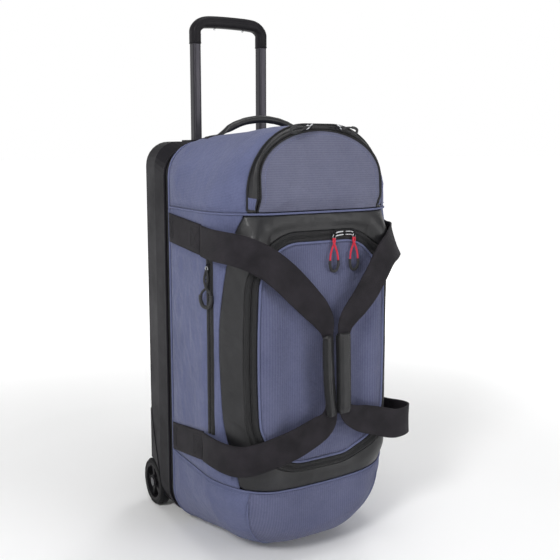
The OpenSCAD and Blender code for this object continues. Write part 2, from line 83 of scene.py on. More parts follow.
def between(a, b, t):
    """Rows of points going over from line a to line, or point, b."""
    t = t[None, :, None]
    return a[:, None] * (1 - t) + (b[:, None] if np.ndim(b) == 2 else b) * t


def smooth(a, b, x):
    t = np.clip((np.asarray(x, float) - a) / (b - a), 0, 1)
    return t * t * (3 - 2 * t)


def rim(t, width=0.08):
    """1 in the middle of a panel, falling to 0 at edges t=0 and t=1."""
    return smooth(0, width, t) * smooth(0, width, 1 - t)


def bell(x, width, power=2):
    return np.exp(-(x / width) ** power)


def lattice(i, seed):
    """A repeatable value from -1 to 1 for each whole-number point."""
    h = (i[..., 0] * 374761393 + i[..., 1] * 668265263 + i[..., 2] * 2147483647
         + seed * 1274126177) & 0xFFFFFFFF
    h = ((h ^ (h >> 13)) * 1274126177) & 0xFFFFFFFF
    h = (h ^ (h >> 16)) & 0xFFFFFF
    return h / float(0x7FFFFF) - 1.0


def noise(p, scale, seed=0):
    q = np.asarray(p, float) / np.asarray(scale, float)
    i = np.floor(q).astype(np.int64)
    f = q - i
    f = f * f * f * (f * (f * 6 - 15) + 10)
    out = 0.0
    for c in range(8):
        o = np.array([c & 1, (c >> 1) & 1, (c >> 2) & 1])
        w = np.prod(np.where(o, f, 1 - f), axis=-1)
        out = out + w * lattice(i + o, seed)
    return out


def folds(p, scale, seed=0):
    """Sharp-crested creases, 0 in the hollows and 1 on the crests."""
    return (1 - np.abs(noise(p, scale, seed))) ** 3


def fractal(p, scale, seed=0, octaves=3):
    s = np.asarray(scale, float)
    return sum(noise(p, s / 2 ** k, seed + k) / 2 ** k for k in range(octaves))


def unit(v):
    return v / np.maximum(np.linalg.norm(v, axis=-1, keepdims=True), 1e-9)


def lengths(p):
    """Distance along a line of points, from its first."""
    return np.r_[0, np.cumsum(np.linalg.norm(np.diff(p, axis=0), axis=1))]


def resample(path, step, closed=False):
    p = np.asarray(path, float)
    if closed:
        p = np.vstack([p, p[:1]])
    d = lengths(p)
    t = np.linspace(0, d[-1], max(2, int(round(d[-1] / step))) + 1)
    out = np.stack([np.interp(t, d, p[:, k]) for k in range(p.shape[1])], 1)
    return out[:-1] if closed else out


def curve(points, per=12):
    """Smooth line through the points (Catmull-Rom)."""
    p = np.asarray(points, float)
    p = np.vstack([2 * p[0] - p[1], p, 2 * p[-1] - p[-2]])
    t = np.linspace(0, 1, per, endpoint=False)[:, None]
    out = []
    for a, b, c, d in zip(p, p[1:], p[2:], p[3:]):
        out.append(0.5 * (2 * b + (c - a) * t + (2 * a - 5 * b + 4 * c - d) * t ** 2
                          + (3 * b - a - 3 * c + d) * t ** 3))
    return np.vstack(out + [p[-2:-1]])


def turn_round(n):
    return np.linspace(0, 2 * math.pi, n, endpoint=False)


def all_round(n):
    return np.linspace(-math.pi, math.pi, n, endpoint=False)


# ---------- the body's outer surface ----------

def station_table():
    """Half width, bottom, top and corner radii behind the rounded front, every millimetre."""
    rows = np.array([
        [-60, HALF_W - 2.6, 18, TOP - 52, 50, 44], [-80, HALF_W - 2, 12, TOP - 39, 58, 48],
        [-100, HALF_W - 1, 3, TOP - 26, 74, 60], [-130, HALF_W, 0, TOP - 18, 98, 84],
        [-180, HALF_W, 0, TOP - 11, 120, 118], [EDGE_Y, HALF_W, 11, TOP - 5, 121, 144]])
    y = np.arange(EDGE_Y, -59.9, 1.0)
    w = np.exp(-0.5 * (np.arange(-14, 15) / 6.0) ** 2)
    table = [y]
    for k in range(1, 6):
        v = np.interp(y, rows[::-1, 0], rows[::-1, k])
        pad = np.pad(v, 14, mode="reflect", reflect_type="odd")
        table.append(np.convolve(pad, w / w.sum(), "valid"))
    return table


STATIONS = station_table()


def outline_at(y):
    """half width, bottom, top, lower and upper corner radius of the section at y."""
    y = np.asarray(y, float)
    back = [np.interp(y, STATIONS[0], STATIONS[k]) for k in range(1, 6)]
    e = np.clip((EDGE_Y - y) / EDGE_R, 0, 1)
    c = np.sqrt(1 - e * e)
    roll = np.clip((y - FRONT - 12) / -12, 0, 1)
    shrink = 12 * (1 - np.sqrt(1 - roll * roll))
    front = [FLAT + EDGE_R * c, 11 + (RISE - 11) * (1 - c) ** 0.8, TOP - 5 + 5 * e - shrink,
             FLAT + 40 * c, 60 + 84 * c]
    return [np.where(y < EDGE_Y, f, b) for f, b in zip(front, back)]


def outside(p):
    hw, z0, z1, r0, r1 = outline_at(p[..., 1])
    up = p[..., 2] > MID_Z
    r = np.where(up, r1, r0)
    dx = np.abs(p[..., 0]) - (hw - r)
    dz = np.where(up, p[..., 2] - (z1 - r), (z0 + r) - p[..., 2])
    d = np.hypot(np.maximum(dx, 0), np.maximum(dz, 0)) + np.minimum(np.maximum(dx, dz), 0) - r
    return np.maximum(d, FRONT - p[..., 1]) > 0


def surface(origin, towards):
    """Where rays from inside the body leave it."""
    o = np.broadcast_to(np.asarray(origin, float), np.shape(towards)).copy()
    d = unit(np.asarray(towards, float) - o)
    lo, hi = np.zeros(d.shape[:-1]), np.full(d.shape[:-1], 600.0)
    for _ in range(34):
        mid = (lo + hi) / 2
        out = outside(o + d * mid[..., None])
        hi, lo = np.where(out, mid, hi), np.where(out, lo, mid)
    return o + d * lo[..., None]


def section_surface(a, y, z):
    """The body's upright section at y, met at angles a from its middle at height z."""
    o = grid(0 * a, y, z)
    return surface(o, o + grid(np.cos(a), 0 * a * y, np.sin(a)))


def belt(s, z, off=0.0):
    """A point of the upright middle of the body: s runs round the front from its centre."""
    s, z, off = np.broadcast_arrays(*[np.asarray(a, float) for a in (s, z, off)])
    a = np.clip((np.abs(s) - FLAT) / ARC_LEN, 0, 1) * math.pi / 2
    side = np.maximum(np.abs(s) - FLAT - ARC_LEN, 0)
    x = np.minimum(np.abs(s), FLAT) + (EDGE_R + off) * np.sin(a)
    y = EDGE_Y - (EDGE_R + off) * np.cos(a) + side
    return np.stack([np.sign(s) * x, y, z], -1)


def s_of_x(x):
    x = np.asarray(x, float)
    a = np.arcsin(np.clip((np.abs(x) - FLAT) / EDGE_R, 0, 1))
    return np.sign(x) * np.where(np.abs(x) <= FLAT, np.abs(x), FLAT + a * EDGE_R)


def x_of_s(s):
    return belt(s, 0)[..., 0]


S_BACK = FLAT + ARC_LEN + (SEAM_BACK - EDGE_Y)


def lower_seam(x):
    return LOWER + LIFT * (np.abs(x) / HALF_W) ** 2.5


def rounded(hw, z0, z1, r0, r1, steps=10):
    """A rectangle's outline with lower corners of radius r0 and upper ones of r1."""
    out = []
    for cx, cz, r, a0 in ((hw - r1, z1 - r1, r1, 0), (-hw + r1, z1 - r1, r1, 90),
                          (-hw + r0, z0 + r0, r0, 180), (hw - r0, z0 + r0, r0, 270)):
        a = np.radians(np.linspace(a0, a0 + 90, steps + 1))
        out.append(np.stack([cx + r * np.cos(a), cz + r * np.sin(a)], 1))
    return np.vstack(out)


def lid_outline(off):
    """The lid's edge, grown by off, in belt coordinates."""
    p = rounded(LID_HW + off, LID_Z0 - off, LID_Z1 + off, 80 + off, 66 + off, 14)
    p = resample(p, 3.0, True)
    mid, half = (LID_Z0 + LID_Z1) / 2, (LID_Z1 - LID_Z0) / 2
    p[:, 0] *= 1 - 0.05 * np.clip(np.abs(p[:, 1] - mid) / half, 0, 1) ** 2
    return np.stack([s_of_x(p[:, 0]), p[:, 1]], 1)


def reach(outline, centre, angles):
    """Where rays from the centre at these angles cross a closed outline round it."""
    p = np.asarray(outline, float) - centre
    a = np.unwrap(np.arctan2(p[:, 1], p[:, 0]))
    if a[-1] < a[0]:
        p, a = p[::-1], a[::-1]
    p, a = np.vstack([p, p[:1]]), np.r_[a, a[0] + 2 * math.pi]
    want = (np.asarray(angles) - a[0]) % (2 * math.pi) + a[0]
    k = np.clip(np.searchsorted(a, want, side="right") - 1, 0, len(p) - 2)
    d = np.stack([np.cos(want), np.sin(want)], 1)
    e = p[k + 1] - p[k]
    den = d[:, 0] * e[:, 1] - d[:, 1] * e[:, 0]
    t = (p[k, 0] * e[:, 1] - p[k, 1] * e[:, 0]) / np.where(np.abs(den) < 1e-9, 1e-9, den)
    return centre + d * t[:, None]


# ---------- materials ----------

def shader(name, color, rough=0.6, spec=0.5, metal=0.0, coat=0.0, sheen=0.0):
    m = bpy.data.materials.new(name)
    m.use_nodes = True
    b = m.node_tree.nodes["Principled BSDF"]
    for socket, value in (("Base Color", (*color, 1)), ("Roughness", rough),
                          ("Specular IOR Level", spec), ("Metallic", metal),
                          ("Coat Weight", coat), ("Sheen Weight", sheen)):
        b.inputs[socket].default_value = value
    return m, b


def feed(m, socket, value):
    if isinstance(value, bpy.types.NodeSocket):
        m.node_tree.links.new(value, socket)
    else:
        socket.default_value = value


def add(m, kind, inputs=None, **props):
    n = m.node_tree.nodes.new(kind)
    for k, v in props.items():
        setattr(n, k, v)
    for k, v in (inputs or {}).items():
        feed(m, n.inputs[k], v)
    return n


def calc(m, op, a, b=0.0, c=0.0):
    return add(m, "ShaderNodeMath", {0: a, 1: b, 2: c}, operation=op).outputs[0]


def times(m, a, b):
    return calc(m, "MULTIPLY", a, b)


def plus(m, a, b):
    return calc(m, "ADD", a, b)


def mix(m, fac, a, b):
    return add(m, "ShaderNodeMix", {0: fac, 6: (*a, 1), 7: (*b, 1)}, data_type="RGBA").outputs[2]


def ramp(m, fac, *stops):
    n = add(m, "ShaderNodeValToRGB", {"Fac": fac})
    for e, (pos, val) in zip(n.color_ramp.elements, stops):
        e.position = pos
        e.color = (val, val, val, 1)
    return n.outputs[0]


def map_range(m, value, low, high, start, end):
    return add(m, "ShaderNodeMapRange", {"Value": value, "From Min": low, "From Max": high,
                                         "To Min": start, "To Max": end},
               interpolation_type="SMOOTHSTEP").outputs["Result"]


def paint(m, b, fac, dark, light):
    feed(m, b.inputs["Base Color"], mix(m, fac, dark, light))


def polish(m, b, fac, *stops):
    feed(m, b.inputs["Roughness"], ramp(m, fac, *stops))


def object_noise(m, scale, detail=3.0, rough=0.5):
    c = add(m, "ShaderNodeTexCoord").outputs["Object"]
    return add(m, "ShaderNodeTexNoise", {"Vector": c, "Scale": scale, "Detail": detail,
                                         "Roughness": rough}).outputs["Fac"]


def cloth_axes(m):
    """The cloth's own coordinates in millimetres, across and along it."""
    a = add(m, "ShaderNodeAttribute", attribute_name="cloth").outputs["Vector"]
    s = add(m, "ShaderNodeSeparateXYZ", {0: a})
    return s.outputs[0], s.outputs[1]


def wave(m, value, pitch):
    return calc(m, "SINE", times(m, value, 2 * math.pi / pitch))


def bump(m, b, height, strength, distance, under=None):
    """Bump on a shader, on top of another bump if one is given."""
    n = add(m, "ShaderNodeBump", {"Height": height, "Strength": strength,
                                  "Distance": distance})
    feed(m, b.inputs["Normal"], n.outputs[0])
    if under:
        feed(m, n.inputs["Normal"], under.outputs[0])


def fabric(name, dark, light, pitch=1.1, rib=None, rough=0.85, sheen=0.25, weave=0.35):
    """Woven cloth: yarns across each other, an optional rib (axis, pitch, depth), mottling."""
    m, b = shader(name, light, rough, 0.25, sheen=sheen)
    axes = cloth_axes(m)
    yarn = times(m, wave(m, axes[0], pitch), wave(m, axes[1], pitch))
    height = times(m, yarn, 0.5)
    blotch = object_noise(m, 9.0, 4.0, 0.6)
    fine = object_noise(m, 420.0, 2.0)
    tone = plus(m, times(m, blotch, 0.6), times(m, fine, 0.35))
    tone = plus(m, tone, times(m, yarn, 0.10))
    if rib:
        axis, rib_pitch, depth = rib
        line = wave(m, axes[axis], rib_pitch)
        crest = calc(m, "MULTIPLY_ADD", line, 0.5, 0.5)
        height = plus(m, height, times(m, crest, depth))
        tone = plus(m, tone, times(m, line, 0.10))
    paint(m, b, ramp(m, tone, (0.15, 0.0), (0.85, 1.0)), dark, light)
    polish(m, b, blotch, (0.2, min(1, rough + 0.08)), (0.8, rough - 0.08))
    crumple = add(m, "ShaderNodeBump", {"Height": object_noise(m, 26.0, 3.0, 0.55),
                                        "Strength": 0.8, "Distance": 0.008})
    bump(m, b, height, weave, 0.0006, crumple)
    return m


def coated(name, dark, light):
    """Coated cloth: semi-gloss, a fine grain, paler in patches."""
    m, b = shader(name, dark, 0.40, 0.38, coat=0.06)
    u, v = cloth_axes(m)
    yarn = times(m, wave(m, u, 0.9), wave(m, v, 0.9))
    patch = object_noise(m, 14.0, 4.0, 0.6)
    fine = object_noise(m, 300.0, 3.0, 0.7)
    paint(m, b, ramp(m, patch, (0.3, 0.0), (0.75, 1.0)), dark, light)
    polish(m, b, patch, (0.25, 0.5), (0.75, 0.36))
    bump(m, b, plus(m, times(m, yarn, 0.35), fine), 0.25, 0.0005)
    return m


def plastic(name, dark, light, rough, grain, depth):
    m, b = shader(name, dark, rough, 0.05)
    fine = object_noise(m, grain, 2.0, 0.6)
    patch = object_noise(m, 12.0, 4.0, 0.65)
    paint(m, b, ramp(m, patch, (0.3, 0.0), (0.75, 1.0)), dark, light)
    polish(m, b, patch, (0.3, rough + 0.07), (0.75, rough - 0.07))
    bump(m, b, fine, depth, 0.0004)
    return m


def metallic(name, color, rough):
    """Metal drawn out along its length."""
    m, b = shader(name, color, rough, 0.5, metal=1.0)
    c = add(m, "ShaderNodeTexCoord").outputs["Object"]
    c = add(m, "ShaderNodeMapping", {"Vector": c, "Scale": (1, 1, 0.02)}).outputs[0]
    fac = add(m, "ShaderNodeTexNoise", {"Vector": c, "Scale": 700.0, "Detail": 3.0}).outputs[0]
    polish(m, b, fac, (0.3, max(0.05, rough - 0.08)), (0.7, rough + 0.1))
    dim = tuple(0.82 * x for x in color)
    paint(m, b, ramp(m, fac, (0.3, 0.0), (0.7, 1.0)), dim, color)
    bump(m, b, fac, 0.06, 0.0003)
    return m


def cord_cloth(name, dark, light, pitch=1.6):
    """Braided cord: crossing diagonal yarns."""
    m, b = shader(name, light, 0.55, 0.4, sheen=0.05)
    u, v = cloth_axes(m)
    one = wave(m, plus(m, u, v), pitch)
    two = wave(m, calc(m, "SUBTRACT", u, v), pitch)
    braid = calc(m, "MULTIPLY_ADD", times(m, one, two), 0.5, 0.5)
    paint(m, b, braid, dark, light)
    bump(m, b, braid, 0.5, 0.0005)
    return m


def webbing_cloth(name, dark, light):
    """Webbing: ribs along it, short floats across, paler in patches."""
    m, b = shader(name, light, 0.7, 0.1, sheen=0.02)
    u, v = cloth_axes(m)
    rib = wave(m, u, 2.1)
    weft = wave(m, plus(m, v, times(m, rib, 0.35)), 1.5)
    height = calc(m, "MULTIPLY_ADD", rib, 0.6, times(m, weft, 0.5))
    blotch = object_noise(m, 25.0, 4.0, 0.6)
    tone = plus(m, blotch, times(m, weft, 0.12))
    paint(m, b, ramp(m, tone, (0.3, 0.0), (0.8, 1.0)), dark, light)
    bump(m, b, height, 0.5, 0.0006)
    return m


BLUE = fabric("blue_lid_cloth", (0.048, 0.053, 0.106), (0.122, 0.131, 0.216),
              rib=(0, 4.2, 0.8), sheen=0.08)
FLAP_BLUE = fabric("blue_flap_cloth", (0.064, 0.067, 0.110), (0.130, 0.135, 0.196),
                   rib=(1, 3.6, 0.9), sheen=0.08)
SIDE_BLUE = fabric("blue_side_cloth", (0.052, 0.061, 0.126), (0.124, 0.137, 0.238),
                   rib=(0, 2.6, 0.2), sheen=0.08, weave=0.3)
PIPE_BLUE = fabric("piping_cloth", (0.074, 0.084, 0.158), (0.118, 0.132, 0.232), pitch=0.8,
                   weave=0.2, sheen=0.05)
LINING = fabric("lining_cloth", (0.008, 0.008, 0.010), (0.02, 0.02, 0.024), pitch=1.4,
                sheen=0.03)
COATED = coated("coated_cloth", (0.005, 0.005, 0.006), (0.013, 0.013, 0.015))
TAPE = fabric("zip_tape_cloth", (0.006, 0.006, 0.007), (0.014, 0.014, 0.015), pitch=0.9,
              rib=(0, 1.6, 0.8), rough=0.6, sheen=0.03)
WEB = webbing_cloth("webbing_cloth", (0.010, 0.009, 0.011), (0.026, 0.023, 0.028))
TRAY = plastic("tray_plastic", (0.009, 0.0085, 0.0105), (0.015, 0.014, 0.017), 0.42, 900, 0.15)
HARD = plastic("hard_plastic", (0.010, 0.0095, 0.011), (0.018, 0.017, 0.019), 0.36, 700, 0.08)
RUBBER = plastic("tyre_rubber", (0.009, 0.009, 0.010), (0.017, 0.017, 0.018), 0.55, 500, 0.2)
TUBE = metallic("dark_anodised", (0.045, 0.043, 0.050), 0.38)
STEEL = metallic("plain_steel", (0.55, 0.56, 0.58), 0.3)
DARK_STEEL = metallic("blackened_steel", (0.13, 0.13, 0.14), 0.4)
ENAMEL = plastic("slider_enamel", (0.010, 0.010, 0.011), (0.022, 0.022, 0.024), 0.28, 500, 0.05)
RED = cord_cloth("red_cord", (0.30, 0.006, 0.022), (0.66, 0.020, 0.055))
BLACK_CORD = cord_cloth("black_cord", (0.006, 0.006, 0.007), (0.022, 0.022, 0.024))
THREAD = fabric("thread", (0.020, 0.020, 0.022), (0.045, 0.044, 0.048), pitch=0.5, weave=0.2,
                sheen=0.03)
BLUE_THREAD = fabric("blue_thread", (0.085, 0.098, 0.18), (0.15, 0.168, 0.28), pitch=0.5,
                     weave=0.2, sheen=0.05)


# ---------- mesh making ----------

def shade_smooth(me):
    me.polygons.foreach_set("use_smooth", [True] * len(me.polygons))


def show(name, data):
    o = bpy.data.objects.new(name, data)
    bpy.context.scene.collection.objects.link(o)
    return o


def make(name, verts, faces, cloth, body, mats, slot=None, nodes=(), thick=0.0):
    me = bpy.data.meshes.new(name)
    me.from_pydata(put(verts).tolist(), [], [list(map(int, f)) for f in faces])
    at = me.attributes.new("cloth", "FLOAT_VECTOR", "POINT")
    c = np.zeros((len(verts), 3), np.float32)
    c[:, :2] = cloth
    at.data.foreach_set("vector", c.ravel())
    shade_smooth(me)
    me.update()
    o = show(name, me)
    mats = mats if isinstance(mats, list) else [mats]
    for m in mats:
        me.materials.append(m)
    if thick:
        mod = o.modifiers.new("thickness", "SOLIDIFY")
        mod.thickness = thick / 1000
        mod.offset = -1
        mod.material_offset = len(mats) - 1
        mod.material_offset_rim = 0
    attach(o, body)
    if nodes:
        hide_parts(*nodes)
    return o


def turn_outward(o):
    """Turns a closed mesh's faces outward."""
    bm = bmesh.new()
    bm.from_mesh(o.data)
    bmesh.ops.recalc_face_normals(bm, faces=bm.faces)
    bm.to_mesh(o.data)
    bm.free()
    shade_smooth(o.data)


def grid_faces(nu, nv, closed_u=False, closed_v=False):
    f = []
    for a in range(nu if closed_u else nu - 1):
        for c in range(nv if closed_v else nv - 1):
            b, d = (a + 1) % nu, (c + 1) % nv
            f.append((a * nv + c, b * nv + c, b * nv + d, a * nv + d))
    return f


def grid_normals(p, closed_u=False):
    if closed_u:
        du = np.roll(p, -1, 0) - np.roll(p, 1, 0)
    else:
        du = np.gradient(p, axis=0)
    return unit(np.cross(du, np.gradient(p, axis=1)))


def outward_normals(p):
    n = grid_normals(p)
    return n * np.sign(np.sum(n * (p - INSIDE), -1, keepdims=True))


def shaped(p, amount, closed=False):
    n = grid_normals(p, closed)
    flip = np.sum(n * (p - INSIDE)) < 0
    return p + (-n if flip else n) * amount[..., None]


def sheet_grid(name, p, cloth, body, mats, closed_u=False, away=INSIDE, cloth_middle=None, **k):
    """A sheet of rows p[across, along] whose outer side faces away from a point inside.

    With cloth_middle it is a disc: the last row closes on its own middle.
    """
    nu, nv = p.shape[:2]
    faces = grid_faces(nu, nv, closed_u)
    verts, c = p.reshape(-1, 3), cloth.reshape(-1, 2)
    if cloth_middle is not None:
        faces += [(i * nv + nv - 1, ((i + 1) % nu) * nv + nv - 1, nu * nv) for i in range(nu)]
        verts, c = np.vstack([verts, [p[:, -1].mean(0)]]), np.vstack([c, [cloth_middle]])
    if np.sum(grid_normals(p, closed_u) * (p - away)) < 0:
        faces = [f[::-1] for f in faces]
    return make(name, verts, faces, c, body, mats, **k)


def frames(path, up=None, closed=False):
    """Side and up directions along a path; up follows the given directions."""
    p = np.asarray(path, float)
    t = unit(np.roll(p, -1, 0) - np.roll(p, 1, 0)) if closed else unit(np.gradient(p, axis=0))
    if up is None:
        ref = np.array([0.0, 0.0, 1.0]) if abs(t[0][2]) < 0.9 else np.array([1.0, 0.0, 0.0])
        n = unit(ref - t[0] * (ref @ t[0]))
        out = [n]
        for tangent in t[1:]:
            n = unit(n - tangent * (n @ tangent))
            out.append(n)
        n = np.array(out)
    else:
        n = np.broadcast_to(np.asarray(up, float), p.shape)
        n = unit(n - t * np.sum(n * t, -1, keepdims=True))
    return np.cross(t, n), n


def ring(radius, n=8, flat=1.0):
    a = turn_round(n)
    return np.stack([radius * np.cos(a), radius * flat * np.sin(a)], 1)


def squarish(n, power):
    """A rounded square's outline, from -1 to 1."""
    c, s = np.cos(turn_round(n)), np.sin(turn_round(n))
    return np.stack([np.sign(c) * np.abs(c) ** power, np.sign(s) * np.abs(s) ** power], 1)


def box_section(w, h, r, steps=3):
    r = min(r, w / 2, h / 2)
    return rounded(w / 2, -h / 2, h / 2, r, r, steps)


def sweep_data(path, section, up=None, closed=False, scale=None):
    """A tube: section points (side, up) along the path; scale may vary it."""
    p = np.asarray(path, float)
    side, n = frames(p, up, closed)
    sec = np.broadcast_to(np.asarray(section, float), (len(p),) + np.shape(section)[-2:])
    first = sec[0]
    if scale is not None:
        sec = sec * np.asarray(scale, float).reshape(len(p), 1, -1)
    v = p[:, None] + side[:, None] * sec[..., :1] + n[:, None] * sec[..., 1:]
    nu, nv = v.shape[:2]
    faces = [f[::-1] for f in grid_faces(nu, nv, closed, True)]
    if not closed:
        faces += [tuple(range(nv)), tuple((nu - 1) * nv + k for k in range(nv))[::-1]]
    cloth = grid(lengths(first)[None, :], lengths(p)[:, None])
    return v.reshape(-1, 3), faces, cloth.reshape(-1, 2)


def join(parts):
    verts, faces, cloth, n = [], [], [], 0
    for v, f, c in parts:
        verts.append(v)
        cloth.append(c)
        faces += [tuple(i + n for i in q) for q in f]
        n += len(v)
    return np.vstack(verts), faces, np.vstack(cloth)


def sweep(name, path, section, body, mat, up=None, closed=False, scale=None, **k):
    return make(name, *sweep_data(path, section, up, closed, scale), body, mat, **k)


def pad_mesh(name, v, cloth, body, mat, **k):
    """A closed pad from rings v[ring, round]."""
    nu, nv = v.shape[:2]
    faces = grid_faces(nu, nv, False, True)
    faces += [tuple(range(nv))[::-1], tuple((nu - 1) * nv + i for i in range(nv))]
    o = make(name, v.reshape(-1, 3), faces, cloth.reshape(-1, 2), body, mat, **k)
    turn_outward(o)
    return o


def stitches(name, paths, body, mat, up=None, pitch=4.0, length=2.6, r=0.45, slot=None):
    """Rows of short thread stitches lying on a surface; up is each path's surface normal."""
    parts = []
    ups = up if isinstance(up, list) else [up] * len(paths)
    for path, u in zip(paths, ups):
        q = resample(path, pitch / 4)
        u = np.broadcast_to(np.asarray(u if u is not None else (0, -1, 0), float),
                            np.shape(path))
        un = np.stack([np.interp(np.linspace(0, 1, len(q)), np.linspace(0, 1, len(u)),
                                 u[:, k]) for k in range(3)], 1)
        for i in range(0, len(q) - 4, 4):
            a, b = q[i], q[i] + (q[i + 4] - q[i]) * (length / pitch)
            n = unit(un[i])
            bit = np.array([a - n * 0.25, a * 0.7 + b * 0.3 + n * 0.2,
                            a * 0.3 + b * 0.7 + n * 0.2, b - n * 0.25])
            parts.append(sweep_data(bit, ring(r, 5), n))
    make(name, *join(parts), body, mat, slot=slot)


# ---------- camera, light and floor ----------

def look():
    cam = bpy.data.cameras.new("camera")
    cam.lens, cam.sensor_width, cam.shift_y = 50.98, 36.0, -0.05
    o = show("camera", cam)
    o.location = (-0.7125, -1.2372, 0.6963)
    o.rotation_euler = (math.radians(90 - 7.559), 0, math.radians(-30.707))
    bpy.context.scene.camera = o
    floor, b = shader("floor_paper", (0.93, 0.93, 0.93), 0.9, 0.05)
    paint(floor, b, object_noise(floor, 3.0, 2.0), (0.92, 0.92, 0.92), (0.95, 0.95, 0.95))
    at = add(floor, "ShaderNodeTexCoord").outputs["Object"]
    far = add(floor, "ShaderNodeVectorMath", {0: at}, operation="LENGTH").outputs["Value"]
    b.inputs["Emission Color"].default_value = (1, 1, 1, 1)
    feed(floor, b.inputs["Emission Strength"], map_range(floor, far, 0.5, 2.3, 0.0, 0.75))
    me = bpy.data.meshes.new("floor")
    half = 40
    me.from_pydata([(-half, -half, 0), (half, -half, 0), (half, half, 0), (-half, half, 0)],
                   [], [(0, 1, 2, 3)])
    me.materials.append(floor)
    show("floor", me)
    for name, at, aim, size, power in (
            ("key", (-2.1, -1.5, 2.0), (0, 0, 0.4), 0.8, 46),
            ("fill", (1.2, -2.6, 1.1), (0, -0.1, 0.4), 1.4, 20),
            ("top", (0.1, -0.3, 2.6), (0, 0, 0.4), 1.4, 22),
            ("rim", (1.9, 1.6, 1.7), (0, 0, 0.5), 1.2, 16)):
        lamp = bpy.data.lights.new(name, "AREA")
        lamp.shape, lamp.size, lamp.energy = "DISK", size, power
        o = show(name, lamp)
        o.location = at
        d = np.array(aim) - np.array(at)
        o.rotation_euler = (math.atan2(math.hypot(d[0], d[1]), -d[2]), 0,
                            math.atan2(d[1], d[0]) - math.pi / 2)
    w = bpy.data.worlds.new("studio")
    w.use_nodes = True
    at = add(w, "ShaderNodeTexCoord").outputs["Generated"]
    up = add(w, "ShaderNodeSeparateXYZ", {0: at}).outputs[2]
    back = w.node_tree.nodes["Background"]
    back.inputs["Color"].default_value = (1, 1, 1, 1)
    feed(w, back.inputs["Strength"], map_range(w, up, 0.20, 0.30, 1.0, 0.30))
    bpy.context.scene.world = w
    bpy.context.scene.view_settings.view_transform = "Standard"


# ---------- the sewn body ----------

def puff(s, z):
    """How far the stuffed front stands out beyond the plain rounded plan."""
    s, z = np.abs(s), np.asarray(z, float)
    start = 60 + 32 * smooth(440, 486, z)
    ridge = smooth(start, start + 0.6 * (140 - start), s) * (1 - smooth(114, 160, s))
    middle = 1 - smooth(40, 100, s)
    return 15.5 * ridge * smooth(134, 190, z) * smooth(588, 545, z) \
        + 7.0 * middle * smooth(140, 210, z) * smooth(500, 400, z)


def wall(s, z, off=0.0):
    """The body's outer surface at belt length s and height z, and off beyond it."""
    b = belt(s, z)
    s = np.broadcast_to(np.asarray(s, float), b.shape[:-1])
    behind, rounding = b[..., 1] > EDGE_Y, (np.abs(s) > FLAT) & (b[..., 1] < EDGE_Y)
    y = np.where(np.abs(s) <= FLAT, INSIDE[1], np.maximum(b[..., 1], EDGE_Y))
    y = np.where(rounding, EDGE_Y, y)
    o = np.stack([np.where(behind, 0.0, np.clip(s, -FLAT, FLAT)), y, b[..., 2]], -1)
    p = surface(o, o + (b - o) * 1.5)
    off = off + puff(s, b[..., 2])
    return p + unit(b - o) * np.broadcast_to(off, p.shape[:-1])[..., None]


def wall_normals(s, z, base):
    return unit(wall(s, z, 10) - base)


def frame_edge(z):
    """Half width of the coated frame's outer edge."""
    zs = [100, 151, 235, 300, 410, 505, 561, 590, 600]
    xs = [138, 142, 157, 161, 162, 155, 145, 134, 130]
    dense = curve(np.stack([zs, xs], 1), 14)
    return np.interp(z, dense[:, 0], dense[:, 1])


def tie_height(s, front, back):
    """Middle height of the webbing that is sewn to the sides."""
    return np.interp(s, [222, 357], [front, back])


def strap_zone(s, z):
    """1 under the webbing that is sewn to the sides, where the cloth lies flat."""
    s = np.abs(s)
    mask = 0.0
    for _, back, front in STRAP_TIES:
        mid = tie_height(s, front, back)
        mask = mask + smooth(34, 25, np.abs(z - mid)) * smooth(196, 214, s)
    return np.minimum(mask, 1)


def side_panel(name, side):
    v = np.linspace(0, 1, 120)[None, :]
    u = np.linspace(0, 1, 84)[:, None]
    z = (LOWER + LIFT + TRIM) * (1 - v) + UPPER * v + 0 * u
    for _ in range(3):
        s = S_BACK * (1 - u) + s_of_x(frame_edge(z)) * u
        z = (lower_seam(x_of_s(s)) + TRIM) * (1 - v) + UPPER * v
    s = S_BACK * (1 - u) + s_of_x(frame_edge(z)) * u
    p = wall(side * s, z)
    q = grid(side * s, z, 0)
    body = rim(u, 0.10) * rim(v, 0.06)
    amount = 2.6 * body + 1.5 * body * fractal(q, 95, 3 + side) - 0.8 * (1 - rim(u, 0.03))
    slant = q + grid(0.45 * (z - 380), 0, 0)
    low, high = smooth(430, 230, z), smooth(430, 560, z)
    amount = amount + 1.9 * folds(slant, (34, 120, 50), 11 + side) * body * (0.35 + low)
    amount = amount + 1.5 * folds(q, (120, 30, 50), 13 + side) * body * (0.25 + high)
    amount += 0.9 * fractal(q, (16, 42, 20), 17, 2) * body
    if side < 0:
        near = smooth(216, 232, z) * smooth(532, 516, z) * bell(s - SIDE_ZIP_S, 15.0, 4)
        amount = amount * (1 - near) + 0.5 * near
    flat = strap_zone(s, z)
    amount = amount * (1 - flat) + 0.3 * flat
    # the top edge is tucked under the top cloth
    tuck = smooth(UPPER - 6.0, UPPER, z)
    p = shaped(p, amount) + grid(-side * 1.2 * tuck, 0, 6.5 * tuck)
    o = sheet_grid("side_" + name, p, grid(s, z), "bag", [SIDE_BLUE, LINING],
                   slot="side_polyester", nodes=("side_panel_" + name,), thick=2.2)


def pocket_back(a):
    """Back edge of the pocket's zip band at an angle round the bag's upper half."""
    return -311.0 - 1.5 * smooth(0.15, 0.8, np.sin(a))


